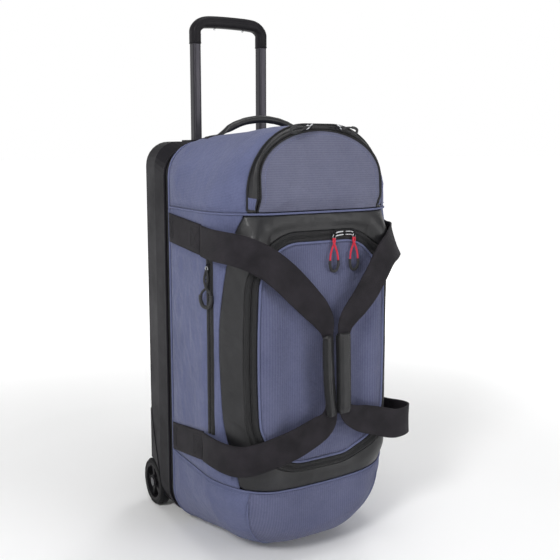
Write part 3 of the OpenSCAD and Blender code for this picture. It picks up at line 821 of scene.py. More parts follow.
def top_shell():
    nu, nv = 150, 90
    a = np.linspace(0, math.pi, nu)[:, None]
    t = np.linspace(0, 1, nv)[None, :]
    y = SEAM_BACK + (pocket_back(a) - SEAM_BACK) * t
    p = section_surface(a, y, FLAP_FOOT)
    body = rim(t, 0.10) * rim(a / math.pi, 0.03)
    amount = 1.6 * body * fractal(p, 120, 5) + 1.0 * body
    crown = np.sin(a) ** 6
    foot = smooth(0.55, 0.9, np.abs(np.cos(a)))
    amount = amount - 2.4 * crown * body * (0.6 + 0.6 * noise(p, (90, 60, 60), 9))
    amount = amount + 1.4 * folds(p, (70, 26, 60), 21) * body * smooth(0.5, 0.9, t)
    amount = amount + 1.6 * folds(p, (90, 90, 34), 23) * body * foot
    amount = amount - 0.7 * (1 - rim(t, 0.03))
    p = shaped(p, amount)
    cloth = grid(lengths(p[:, 0])[:, None], -y)
    o = sheet_grid("top_shell", p, cloth, "bag", [SIDE_BLUE, LINING], slot="side_polyester",
                   nodes=("top_wall",), thick=2.2)


def front_point(xz):
    """The surface point seen from the front at (x, z)."""
    x, z = xz[..., 0], xz[..., 1]
    return surface(grid(x, INSIDE[1], z), grid(x, -400.0, z))


def flap_front(xz):
    """The flap's face: flatter than the body, and proud of it away from its foot."""
    p = front_point(xz)
    k = smooth(FLAP_FOOT, 622, p[..., 2])
    lean = 9.0 * np.clip((p[..., 2] - 612) / 115, 0, 1.2) ** 1.2
    p[..., 1] = p[..., 1] * (1 - k) + (FRONT - 4.0 + lean) * k
    return p


def arch_point(a, grow=0.0):
    """The pocket flap's edge in front view: an arch on straight legs. a runs 0 to 1."""
    rx, rz = FLAP_R + 5 + grow, FLAP_RISE + 0.7 * grow
    leg = ARCH_Z - FLAP_FOOT
    arc = math.pi * math.sqrt((rx * rx + rz * rz) / 2)
    d = a * (2 * leg + arc)
    t = np.clip((d - leg) / arc, 0, 1) * math.pi
    z = ARCH_Z + rz * np.sin(t)
    z = z - np.clip(leg - d, 0, leg) - np.clip(d - leg - arc, 0, leg)
    return np.stack([rx * np.cos(t), z], -1)


def gusset():
    """The zip band round the flap, turning back to the body like a box's side."""
    nu, nv = 170, 18
    k = np.linspace(0, 1, nu)
    flat_edge = arch_point(k, 0.6)
    inner = flap_front(flat_edge)
    inner[:, 1] += 0.8
    ang = np.arctan2(flat_edge[:, 1] - FLAP_FOOT, flat_edge[:, 0])
    outer = section_surface(ang, pocket_back(ang), FLAP_FOOT)
    t = np.linspace(0, 1, nv)
    p = between(outer, inner, t)
    across = t[None, :]
    arch = np.sin(math.pi * across)
    amount = 1.4 * arch + 0 * k[:, None]
    amount = amount + 1.3 * folds(p, (30, 22, 22), 31) * arch
    amount = amount - 1.2 * bell(across - 0.62, 0.05)
    p = shaped(p, amount)
    cloth = grid(22 * across, 420 * k[:, None])
    # the back edge is tucked under the top cloth
    inward = unit(outer - grid(0, outer[:, 1], FLAP_FOOT)) * 2.2
    band = np.concatenate([(outer + (0, 7, 0) - inward)[:, None], p], 1)
    o = sheet_grid("pocket_zip_band", band, np.concatenate([cloth[:, :1] - (7, 0), cloth], 1),
                   "bag", [COATED, LINING], slot="coated_fabric", nodes=("pocket_gusset",),
                   thick=2.0)
    for name, n0, n1 in (("right", 2, 10), ("left", nu - 10, nu - 2)):
        q = p[n0:n1, 1:-3]
        sheet_grid("band_foot_" + name, q + outward_normals(q) * 0.7, cloth[n0:n1, 1:-3],
                   "bag", [SIDE_BLUE, LINING], slot="side_polyester", thick=1.0)
    line = p[:, -3] + unit(p[:, -3] - BELOW_TOP) * 0.5
    coil("pocket_coil", line[3:-3], "bag", 1.5)
    sweep("pocket_band_edge", outer[1:-1] + unit(outer[1:-1] - BELOW_TOP) * 0.6,
          ring(1.7), "bag", TAPE, slot="zip_tape")


def coil(name, line, body, r, closed=False):
    """One half of a zip's coil: a ribbed bead."""
    path = resample(line, 0.62, closed)
    beat = 1 + 0.22 * np.cos(np.arange(len(path)) * math.pi)
    sweep(name, path, ring(r, 6, 0.8), body, TAPE, closed=closed,
          up=np.array([0.0, -1.0, 0.12]), scale=np.stack([beat, beat], 1),
          slot="zip_tape")


def flap():
    nu, nv = 200, 40
    foot_z = FLAP_FOOT + 1.2
    top = arch_point(np.linspace(0, 1, nu), -1.0)
    top[:, 1] = np.maximum(top[:, 1], foot_z)
    base = grid(np.linspace(-FLAP_R - 4, FLAP_R + 4, 70)[1:-1], foot_z)
    loop = np.vstack([top, base])
    c = np.array([0.0, 640.0])
    t = np.arange(nv) / nv
    xz = between(loop, c, t)
    p = flap_front(xz)
    r = t[None, :] + 0 * loop[:, :1]
    bulge = 3.2 * (1 - (1 - np.minimum(r * 3.2, 1)) ** 2) * smooth(0, 0.5, r)
    bulge = bulge + 1.2 * smooth(0, 0.08, r)
    amount = bulge + 1.2 * fractal(p, (90, 50, 60), 41) * smooth(0, 0.2, r)
    amount = amount - 0.6 * bell(r - 0.055, 0.02)
    p = shaped(p, amount, True)
    o = sheet_grid("flap_panel", p, xz, "flap", [FLAP_BLUE, LINING], True, cloth_middle=c,
                   slot="blue_polyester", nodes=("pocket_flap",), thick=2.2)
    sweep("flap_edge", (p[:nu, 0] - (0, 0.4, 0))[1:-1], ring(1.3), "flap", TAPE,
          slot="zip_tape")
    stitches("flap_stitches", [(p[:nu, 3] - (0, 0.1, 0))[4:-4]], "flap", BLUE_THREAD,
             pitch=4.2, slot="blue_polyester")


def ring_angles(corners, centre, n):
    """Even angles round a centre, and the exact ones of some corners."""
    p = np.asarray(corners, float) - centre
    return np.unique(np.round(np.r_[all_round(n), np.arctan2(p[:, 1], p[:, 0])], 5))


def front_frame():
    """The coated frame between the lid's zip and the sides."""
    zs = np.linspace(148, UPPER, 60)
    right = np.stack([s_of_x(frame_edge(zs)), zs], 1)
    corner_s = s_of_x(134)
    upper = grid(np.linspace(corner_s, -corner_s, 40)[1:-1], UPPER)
    xs = np.linspace(-141, 141, 60)
    low = np.stack([s_of_x(xs), lower_seam(xs) + TRIM], 1)[1:-1]
    outer = np.vstack([right, upper, (right * (-1, 1))[::-1], low])
    c = np.array([0.0, MID_Z])
    corners = [[corner_s, UPPER], [-corner_s, UPPER], right[0], right[0] * (-1, 1)]
    a = ring_angles(corners, c, 520)
    t = np.linspace(0, 1, 30)
    sz = between(reach(outer, c, a), reach(lid_outline(20.5), c, a), t)
    s, z = sz[..., 0], sz[..., 1]
    p = wall(s, z)
    q = grid(s, z, 0)
    body = np.sin(math.pi * t)[None, :] ** 0.7 + 0 * a[:, None]
    sides = smooth(120, 150, np.abs(s))
    across = folds(q + grid(0, 0.35 * s, 0 * z), (90, 24, 50), 51)
    along = folds(q, (40, 110, 50), 57)
    tilt = q + grid(0.5 * z, -0.5 * np.abs(s), 0)
    amount = body * (2.6 + 0.9 * across * (0.35 + 0.65 * sides) + 1.2 * along
                     + 2.4 * noise(tilt, (120, 30, 50), 53) * sides
                     + 1.6 * fractal(q, 60, 61))
    track = smooth(104, 94, np.abs(s)) * smooth(540, 552, z)
    amount = amount * (1 - 0.9 * track * smooth(0.45, 0.85, t)[None, :])
    amount = amount - 0.8 * (1 - rim(t, 0.04))[None, :]
    p = shaped(p, amount, True)
    o = sheet_grid("front_surround", p, sz, "bag", [COATED, LINING], closed_u=True,
                   slot="coated_fabric", nodes=("front_frame",), thick=2.0)


def on_lid_ring(off, lift):
    sz = lid_outline(off)
    return wall(sz[:, 0], sz[:, 1], lift)


def tape_ring(name, off0, off1, rise, body, node, stitched):
    """A zip tape round the lid between two offsets, with one stitched row."""
    a = all_round(420)
    t = np.linspace(0, 1, 9)
    sz = between(reach(lid_outline(off0), LID_MID, a), reach(lid_outline(off1), LID_MID, a), t)
    p = wall(sz[..., 0], sz[..., 1])
    amount = (0.5 + rise * np.sin(math.pi * t) ** 1.2)[None, :] + 0 * a[:, None]
    amount = amount + 0.5 * fractal(grid(sz[..., 0], sz[..., 1], 0), (40, 60, 40), 71)
    p = shaped(p, amount, True)
    cloth = grid((off1 - off0) * t[None, :], lengths(p[:, 4])[:, None])
    sheet_grid(name, p, cloth, body, [TAPE, LINING], closed_u=True, slot="zip_tape",
               nodes=(node,), thick=1.2)
    row = p[:, stitched]
    stitches(name + "_stitches_%d" % stitched, [row], body, THREAD, up=unit(row - INSIDE),
             pitch=5, length=3.2, r=0.35, slot="zip_tape")


def lid():
    a = ring_angles([[150, 361]], LID_MID, 300)
    nv = 64
    t = (np.arange(nv) / nv) ** 0.9
    sz = between(reach(lid_outline(0.6), LID_MID, a), LID_MID, t)
    s, z = sz[..., 0], sz[..., 1]
    p = wall(s, z)
    q = grid(s, z, 0)
    r = t[None, :] + 0 * a[:, None]
    soft = smooth(0, 0.16, r)
    swapped = q[..., [1, 0, 2]]
    amount = 4.5 * smooth(0, 0.45, r) + 2.0 * fractal(q, 130, 81) * soft
    for depth, points, scale, seed, where in (
            (2.0, q + 0.4 * swapped, (170, 46, 60), 83, smooth(420, 220, z)),
            (1.5, q - 0.6 * swapped, (46, 120, 60), 85, smooth(50, 100, s)),
            (1.1, q, (40, 150, 60), 87, smooth(-40, -90, s) * smooth(500, 440, z))):
        amount = amount + depth * folds(points, scale, seed) * soft * where
    amount = amount - 5.5 * soft * np.exp(-((s + 12) / 46) ** 2 - ((z - 330) / 110) ** 2)
    p = shaped(p, amount, True)
    o = sheet_grid("lid_cloth", p, sz, "lid", [BLUE, LINING], True, cloth_middle=LID_MID,
                   slot="blue_polyester", nodes=("lid_panel",), thick=2.2)
    sweep("lid_cord", resample(on_lid_ring(2.0, 0.6), 4, True), ring(2.1, 10), "lid",
          PIPE_BLUE, closed=True, slot="piping_cord", nodes=("lid_piping",))
    tape_ring("lid_tape", 4.0, 12.0, 2.2, "lid", "lid_zip_tape", 2)
    tape_ring("frame_tape", 12.5, 20.6, 2.4, "bag", "frame_zip_tape", 6)
    for body, name, off in (("lid", "lid_coil", 11.2), ("bag", "frame_coil", 13.4)):
        coil(name, resample(on_lid_ring(off, 0.9), 2, True), body, 1.5, True)


def piping():
    s = np.linspace(-S_BACK, S_BACK, 260)
    z = lower_seam(x_of_s(s)) + 2
    rear = resample(section_surface(all_round(300), -99.0, MID_Z), 4, True)
    for name, line, r, closed in (("upper", wall(s, 0 * s + UPPER + 2, 0.7), 1.8, False),
                                  ("lower", wall(s, z, 0.5), 1.7, False),
                                  ("rear", rear, 2.2, True)):
        sweep("seam_cord_" + name, line, ring(r, 10), "bag", PIPE_BLUE, closed=closed,
              slot="piping_cord", nodes=(name + "_piping",))
    # needle rows beside the seams
    up = wall(s, 0 * s + UPPER + 9, 1.6)
    dn = wall(s, z - 7, 0.5)
    nrm = wall_normals(s, 0 * s + 400.0, wall(s, 0 * s + 400.0))
    stitches("seam_stitches", [up[8:72], dn[8:-8], up[188:-8]], "bag", BLUE_THREAD,
             up=[nrm[8:72], nrm[8:-8], nrm[188:-8]], pitch=4.6, length=3.0, r=0.4,
             slot="side_polyester")


def bottom():
    """The cloth under the bag, spread from the seams to a pole below the front."""
    s = np.linspace(-S_BACK, S_BACK, 220)
    seam = wall(s, lower_seam(x_of_s(s)) + 0.6)
    a0 = math.atan2(seam[-1][2] - 160, HALF_W)
    back = section_surface(np.linspace(a0, -math.pi - a0, 110)[1:-1], SEAM_BACK, 160.0)
    edge = np.vstack([seam, back])
    c = np.array([0.0, -185.0, 165.0])
    d = unit(edge - c)
    pole = unit(np.array([0.0, -0.3, -1.0]))
    nv = 54
    t = np.arange(nv) / nv
    ang = np.arccos(np.clip(d @ pole, -1, 1))[:, None]
    k0 = np.sin((1 - t) * ang) / np.sin(ang)
    k1 = np.sin(t * ang) / np.sin(ang)
    p = surface(c, c + d[:, None] * k0[..., None] + pole * k1[..., None])
    p[:, 0] = edge
    q = p
    r = t[None, :] + 0 * ang
    amount = (0.6 + 1.6 * fractal(q, 100, 91) + 1.1 * folds(q, (60, 90, 40), 93)) \
        * smooth(0, 0.12, r) * smooth(1, 0.8, r) * smooth(4, 30, q[..., 2])
    p = shaped(p, amount, True)
    down = np.cumsum(np.linalg.norm(np.diff(q, axis=1), axis=2), 1)
    cloth = grid(lengths(edge)[:, None], np.concatenate([0 * q[:, :1, 0], down], 1))
    o = sheet_grid("base_cloth", p, cloth, "bag", [SIDE_BLUE, LINING], True, away=c,
                   cloth_middle=cloth[:, -1].mean(0), slot="side_polyester",
                   nodes=("bottom_wall",), thick=2.2)


def chin():
    """The D-shaped panel low on the front."""
    loop = resample(rounded(130, 12, 200, 100, 0.1, 14), 5, True)
    keep = loop[loop[:, 1] < 128]
    keep = keep[np.argsort(np.arctan2(keep[:, 1] - 150, keep[:, 0]))]
    xs = np.linspace(-128, 128, 80)
    edge = np.vstack([keep, np.stack([xs[::-1], lower_seam(xs) - 0.2], 1)])
    c = np.array([0.0, 100.0])
    nv = 30
    t = np.arange(nv) / nv
    xz = between(edge, c, t)
    p = front_point(xz)
    r = t[None, :] + 0 * edge[:, :1]
    amount = 1.4 + 2.2 * smooth(0, 0.3, r) + 1.3 * fractal(p, 90, 95) * smooth(0, 0.2, r)
    p = shaped(p, amount, True)
    o = sheet_grid("chin_panel", p, xz, "bag", [BLUE, LINING], True, cloth_middle=c,
                   slot="blue_polyester", nodes=("bottom_front_panel",), thick=2.4)
    cord = p[1:len(keep) - 1, 0]
    sweep("chin_cord", cord + unit(cord - LOW_FRONT) * 0.3, ring(1.5), "bag", PIPE_BLUE,
          slot="piping_cord")
    line = p[:len(keep), 1] - (0, 0.4, 0)
    stitches("chin_stitches", [line], "bag", BLUE_THREAD, up=unit(line - LOW_FRONT),
             pitch=4.6, length=3.0, r=0.4, slot="blue_polyester")


# ---------- rear: gusset, tray dressing, wheels, trolley ----------

def tray_band():
    """The concave fabric gusset between the body's rear piping and the tray's rim."""
    a = all_round(300)
    t = np.linspace(0, 1, 12)

    def section(*outline):
        return reach(rounded(*outline, 14), np.array([0.0, MID_Z]), a)
    xz = between(section(HALF_W - 1.2, 5, TOP - 28, 72, 58),
                 section(HALF_W - 2, 12, TOP - 39, 58, 48), t)
    y = -97.5 + (97.5 + RIM_Y) * t
    p = grid(xz[..., 0], y, xz[..., 1])
    amount = -3.4 * np.sin(math.pi * t)[None, :] + 0.5 * noise(p, (14, 30, 14), 101)
    p = shaped(p, amount, True)
    cloth = grid(18.0 * t[None, :], lengths(p[:, 4])[:, None])
    o = sheet_grid("rear_gusset", p, cloth, "bag", [TAPE, LINING], closed_u=True,
                   slot="black_webbing", nodes=("tray_gusset",), thick=2.0)
    xz = section(HALF_W - 0.8, 11, TOP - 38, 58, 48)
    bead = resample(grid(xz[:, 0], RIM_Y, xz[:, 1]), 4, True)
    sweep("tray_rim_bead", bead, box_section(5.0, 4.4, 1.8), "bag", TRAY, closed=True,
          up=unit(bead - np.array([0, RIM_Y, MID_Z])), slot="moulded_tray")


def upright_bars(name, xs, z0, z1, n, profile, stand, section, mat):
    """Bars standing along the tray's back; profile gives the tray's depth at heights."""
    zs = np.linspace(z0, z1, n)
    y = np.interp(zs, *profile) + stand
    parts = [sweep_data(grid(x, y, zs), box_section(*section), np.array([0, 1.0, 0]))
             for x in xs]
    make(name, *join(parts), "bag", mat, slot="moulded_tray")


def tray_dress():
    """Moulded ribs and kick strips on the tray's back."""
    upright_bars("tray_ribs", (-104, -84, 84, 104), 232, 640, 40,
                 ([28, 400, 692], [32, 36.0, 24.5]), 0.4, (7, 3.2, 1.5), TRAY)
    upright_bars("kick_strips", (-26, -58, 26, 58), 24, 150, 24,
                 ([24, 60, 400], [31.0, 33.4, 36.0]), 1.0, (12, 5.5, 2.4), HARD)


def wheel_dress():
    tread_r, sink, bars = 45.05, 0.25, 40
    for name, side in (("left", -1), ("right", 1)):
        parts = []
        for t in turn_round(bars):
            c, s = math.cos(t), math.sin(t)
            if WHEEL_Z + tread_r * s < 1.0:     # no tread bar under the ground
                continue
            r = tread_r - sink
            p = grid(side * np.linspace(151, 165, 4), WHEEL_Y + r * c, WHEEL_Z + r * s)
            parts.append(sweep_data(p, box_section(1.6, 0.7, 0.3, 1), np.array([0, c, s])))
        make("tread_" + name, *join(parts), "wheel_" + name, RUBBER, slot="tyre_plastic")
        rings = []
        a = turn_round(64)
        for r, x, w in ((33.2, 168.2, 1.5), (11.2, 167.6, 1.8)):
            p = grid(side * x, WHEEL_Y + r * np.cos(a), WHEEL_Z + r * np.sin(a))
            rings.append(sweep_data(p, ring(w, 8, 0.7), np.array([float(side), 0, 0]), True))
        make("rim_beads_" + name, *join(rings), "wheel_" + name, HARD, slot="wheel_plastic")


def grip():
    """The trolley's handle: two necks flowing into a thick bar with a soft seam."""
    h = 70.5
    half = [(h, 887), (h, 903), (h - 1, 915), (h - 12, 925.5), (h - 30, 929)]
    pts = curve([(-x, z) for x, z in half] + [(0, 930)] + half[::-1], 10)
    path = resample(grid(pts[:, 0], 0, pts[:, 1]), 3)
    k = np.linspace(0, 1, len(path))
    middle, neck = smooth(0.12, 0.3, k) * smooth(0.12, 0.3, 1 - k), rim(k, 0.02)
    base = squarish(32, 0.72)
    wide = (12.6 + 0.6 * middle) * (0.9 + 0.1 * neck)
    tall = (9.6 + 1.4 * middle) * (0.92 + 0.08 * neck)
    side = np.array([0.0, 1.0, 0.0])
    n = np.cross(unit(np.gradient(path, axis=0)), side)
    v = path[:, None] + side * (base[None, :, 0] * wide[:, None])[..., None] \
        + n[:, None] * (base[None, :, 1] * tall[:, None])[..., None]
    pad_mesh("grip", v, np.zeros(v.shape[:2] + (2,)), "trolley", HARD, slot="moulded_tray",
             nodes=("trolley_grip",))
    for name, x in (("left", -h), ("right", h)):
        sweep("collar_" + name, grid(x + 8.9 * base[:, 0], 12.4 * base[:, 1], 889),
              ring(1.3, 6), "trolley", TRAY, closed=True, slot="moulded_tray")
    for sign, name in ((-1, "front"), (1, "back")):
        seam = path[8:-8].copy()
        seam[:, 1] = sign * (12.55 + 0.6 * middle[8:-8])
        sweep("grip_seam_" + name, seam, ring(0.5, 5), "trolley", TRAY, slot="moulded_tray")


def cad_dress():
    """Materials and softened edges for the CAD nodes that stay visible."""
    look_of = {
        "back_tray": (TRAY, 2.0), "trolley_bezel": (HARD, 0.8), "outer_tubes": (TUBE, 0.3),
        "tube_foot": (HARD, 0.8), "foot_screws": (STEEL, 0.2), "back_lining": (LINING, 0.3),
        "base_board": (LINING, 0.5), "pocket_divider": (LINING, 0.5),
        "inner_tubes": (TUBE, 0.2), "tube_end_blocks": (HARD, 0.4),
        "release_button": (TRAY, 0.9), "release_rods": (STEEL, 0.2),
        "button_springs": (STEEL, 0.0)}
    for name in ("left", "right"):
        look_of.update({
            "wheel_housing_" + name: (TRAY, 1.0), "wheel_axle_" + name: (DARK_STEEL, 0.4),
            "wheel_tyre_" + name: (RUBBER, 0.8), "wheel_rim_" + name: (HARD, 0.5),
            "wheel_bearing_" + name: (DARK_STEEL, 0.2)})
    for name, (mat, width) in look_of.items():
        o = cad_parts[name]
        o.data.materials.clear()
        o.data.materials.append(mat)
        shade_smooth(o.data)
        if width:
            b = o.modifiers.new("edge", "BEVEL")
            b.width, b.segments, b.limit_method = width / 1000, 3, "ANGLE"
            b.angle_limit = math.radians(32)
            b.harden_normals = False
        w = o.modifiers.new("shade", "WEIGHTED_NORMAL")
        w.keep_sharp = True


# ---------- webbing ----------

class Plan:
    """A plan line that upright webbing follows; its own length is the strap's first axis."""
    def __init__(self, points):
        self.other = None
        self.p = resample(points, 1.0)
        self.d = lengths(self.p)

    def at(self, s):
        return np.stack([np.interp(s, self.d, self.p[:, k]) for k in (0, 1)], -1)

    def morph(self, other, z0, z1):
        """Goes over to another plan line between two heights."""
        self.other, self.z0, self.z1 = other, z0, z1

    def at_height(self, s, z):
        p = self.at(s)
        if self.other is None:
            return p
        k = np.clip((z - self.z0) / (self.z1 - self.z0), 0, 1)[..., None]
        gap = self.d[-1] - self.other.d[-1]
        return p * (1 - k) + self.other.at(s - gap * smooth(0, 90, s)) * k

    def find(self, value, axis=0):
        """Length at which the plan first crosses an x (or with axis=1 a y)."""
        v = self.p[:, axis] - value
        k = np.nonzero(v[:-1] * v[1:] <= 0)[0]
        return self.d[k[0]] if len(k) else self.d[-1]


def ribbon(name, plan, centre, width, body, nodes, seed, sign):
    """Webbing on a plan line: centre holds (length, height) points, width one per point."""
    c = curve(centre, 10)
    w = np.interp(np.linspace(0, 1, len(c)), np.linspace(0, 1, len(width)), width)
    d = lengths(c)
    t = np.linspace(0, d[-1], int(d[-1] / 5))
    c = np.stack([np.interp(t, d, c[:, k]) for k in (0, 1)], 1)
    w = np.interp(t, d, w)
    k = np.ones(5) / 5
    for _ in range(2):
        pad = np.pad(c, ((2, 2), (0, 0)), mode="edge")
        c[2:-2] = np.stack([np.convolve(pad[:, j], k, "valid") for j in (0, 1)], 1)[2:-2]
    tan = unit(np.gradient(c, axis=0))
    nor = np.stack([-tan[:, 1], tan[:, 0]], 1)
    v = np.linspace(-0.5, 0.5, 13)
    sz = c[:, None] + nor[:, None] * (v[None, :] * w[:, None])[..., None]
    s, z = sz[..., 0], sz[..., 1]
    xy = plan.at_height(s, z)
    ahead = plan.at_height(s + 1.0, z) - plan.at_height(np.maximum(s - 1.0, 0), z)
    out = unit(grid(ahead[..., 1], -ahead[..., 0], 0)) * sign
    amount = 0.9 * fractal(grid(s, z, 0), (70, 50, 50), 111 + seed) + 0.8 * (v[None, :] * 2) ** 2
    p = grid(xy[..., 0], xy[..., 1], z) + out * amount[..., None]
    cloth = grid(v[None, :] * w[:, None] + 25, t[:, None])
    o = sheet_grid(name, p, cloth, body, [WEB, WEB], slot="black_webbing", nodes=nodes,
                   thick=2.0, away=(0, -150, 330))


def box_stitch(name, p, out, i0, i1, body):
    """The stitched box with a cross that holds webbing down, on a ribbon's rows i0 to i1."""
    lifted = p + out * 0.5
    rows = [lifted[i0:i1, 2], lifted[i0:i1, -3], lifted[i0, 2:-2], lifted[i1 - 1, 2:-2]]
    ups = [out[i0:i1, 2], out[i0:i1, -3], out[i0, 2:-2], out[i1 - 1, 2:-2]]
    cols = np.linspace(2, p.shape[1] - 3, i1 - i0).round().astype(int)
    for diagonal in (cols, cols[::-1]):
        rows.append(lifted[np.arange(i0, i1), diagonal])
        ups.append(out[i0:i1, 4])
    stitches(name, rows, body, THREAD, up=ups, pitch=3.6, length=2.4, r=0.4,
             slot="black_webbing")


def sewn_straps():
    """The stretches on the body's sides: both handles have one above and one below."""
    for name, side in (("left", -1), ("right", 1)):
        for part, back, front in STRAP_TIES:
            s = np.linspace(S_BACK - 1, STRAP_FRONT_S, 34)
            v = np.linspace(-25, 25, 13)
            ss, zz = side * s[:, None] + 0 * v, tie_height(s, front, back)[:, None] + v
            base = wall(ss, zz)
            nrm = wall_normals(ss, zz, base)
            body = rim((s - s.min()) / np.ptp(s), 0.06)[:, None]
            lift = 3.4 + 0.5 * fractal(grid(ss, zz, 0), 60, 121)
            p = base + nrm * (lift * (0.75 + 0.25 * body))[..., None]
            o = sheet_grid("sewn_strap_%s_%s" % (part, name), p, grid(v[None, :] + 25, s[:, None]),
                           "bag", [WEB, WEB], slot="black_webbing", nodes=("sewn_straps",)
                           if (part, name) == ("upper", "left") else (), thick=2.0)
            box_stitch("strap_box_%s_%s" % (part, name), p, nrm, 24, 33, "bag")
            box_stitch("strap_end_%s_%s" % (part, name), p, nrm, 1, 6, "bag")


def carry_webbing(side, part, plan, centre, width, seed, sign):
    """One half of a carry handle; its third and later points are given as (x, height)."""
    points = centre[:2] + [(plan.find(x), z) for x, z in centre[2:]]
    nodes = ("carry_strap_" + side,) if part == "upper" else ()
    ribbon("carry_webbing_%s_%s" % (side, part), plan, points, width, "handle_" + side,
           nodes, seed, sign)


def straps():
    left = Plan(curve([(-175.8, HOLD_Y), (-176.4, -262), (-174, -300), (-163, -332),
                       (-140, -348), (-108, -352), (-60, -357), (0, -361), (30, -362)], 14))
    w = [50, 50, 50, 50, 50, 50, 49, 45, 35, 19, 13, 13]
    carry_webbing("left", "upper", left,
                  [(0, 546.5), (30, 544), (-163, 541), (-140, 532), (-114, 518), (-85, 495),
                   (-58, 468), (-32, 440), (-15, 417), (-10, 395), (-8, 360), (-7, 330)],
                  w, 1, 1)
    carry_webbing("left", "lower", left,
                  [(0, 201.5), (30, 203), (-160, 205), (-136, 208), (-112, 212), (-80, 219),
                   (-53, 228), (-22, 242), (-6, 254), (-3, 275), (-5, 300), (-7, 330)],
                  w, 2, 1)
    # on the right the upper webbing stands away from the corner, more so lower down
    up = Plan(np.vstack([curve([(175.8, HOLD_Y), (178, -262), (182, -288), (184.5, -298)], 10),
                         curve([(183, -304), (168, -322), (146, -340), (118, -351),
                                (60, -357), (0, -362)], 14)]))
    up.morph(Plan(curve([(175.8, HOLD_Y), (174.5, -262), (168, -288), (154, -312), (134, -331),
                         (110, -345), (60, -357), (0, -362)], 14)), 505, 560)
    carry_webbing("right", "upper", up,
                  [(0, 546.5), (26, 544), (182, 538), (165, 538), (140, 531), (118, 520),
                   (96, 494), (74, 464), (48, 436), (25, 415), (21, 392), (21, 360),
                   (21, 330)], [50, 50, 54, 56, 54, 52, 50, 48, 43, 34, 24, 20, 20], 3, -1)
    # the lower webbing bows out in a wide loop
    dn = Plan(curve([(175.8, HOLD_Y), (176.8, -258), (182, -280), (192, -302), (193, -322),
                     (178, -337), (150, -347), (118, -352), (60, -357), (0, -362)], 14))
    low = [(0, 201.5), (26, 203), (dn.find(-312, 1), 205)]
    low += [(dn.find(x), z) for x, z in (
        (176, 210), (150, 216), (120, 224), (90, 234), (62, 243), (40, 252), (24, 268),
        (22, 300), (21, 330))]
    ribbon("carry_webbing_right_lower", dn, low,
           [50, 50, 50, 50, 50, 50, 49, 46, 36, 25, 20, 20], "handle_right", (), 4, -1)


def sleeve(name, at, turn, w, d, bow, tilt):
    """A padded grip sleeve: a wrapped pad with a bound, stitched edge."""
    body, hem = "handle_" + name, 3.6
    z = np.linspace(SLEEVE_Z0, SLEEVE_Z0 + SLEEVE_LEN, 48)
    k = (z - SLEEVE_Z0) / SLEEVE_LEN
    path = grid(at[0] + bow * np.sin(math.pi * k) + tilt * (0.5 - k), at[1], z)
    base = squarish(40, 0.55)
    end = np.clip(1 - np.abs(2 * k - 1), 0, 1)
    thick = d / 2 * (0.80 + 0.20 * smooth(0, 0.10, end) - 0.05 * bell(end - 0.11, 0.03))
    wide = w / 2 * (0.96 + 0.04 * smooth(0, 0.08, end))
    ca, sa = math.cos(turn), math.sin(turn)
    ex, ey = np.array([ca, sa, 0]), np.array([-sa, ca, 0])
    u = base[None, :, 0] * wide[:, None]
    v = base[None, :, 1] * thick[:, None]
    p = path[:, None] + ex * u[..., None] + ey * v[..., None]
    nrm = unit(p - path[:, None])
    dent = -1.1 * bell(np.abs(u) - (w / 2 - hem), 1.0)
    p = p + nrm * (0.7 * fractal(p, (16, 16, 26), 131) + dent)[..., None]
    cloth = grid(turn_round(40)[None, :] * 14, z[:, None])
    o = pad_mesh("grip_pad_" + name, p, cloth, body, COATED, slot="coated_fabric",
                 nodes=("grip_sleeve_" + name,))
    rows, ups = [], []
    across = np.linspace(-1, 1, 12)[:, None]
    for at_rows, along, sink in ((slice(3, -3), -1, 0.5), (slice(3, -3), 1, 0.5),
                                 (3, across, 0.4), (-4, across, 0.4)):
        for side in (-1, 1):
            height = np.reshape(thick[at_rows], (-1, 1)) - sink
            r = path[at_rows] + ex * (along * (w / 2 - hem)) + ey * (side * height)
            rows.append(r)
            ups.append(np.broadcast_to(ey * side, r.shape))
    stitches("grip_pad_stitches_" + name, rows, body, THREAD, up=ups, pitch=3.4, length=2.3,
             r=0.38, slot="coated_fabric")
    # bound edges: a flat tape folded round each long side
    for sign, edge in ((-1, "a"), (1, "b")):
        r = path[1:-1] + ex * (sign * (w / 2 - 0.6))
        sweep("grip_pad_edge_%s_%s" % (name, edge), r, box_section(3.2, d * 0.62, 1.4), body,
              TAPE, up=ey, slot="coated_fabric")


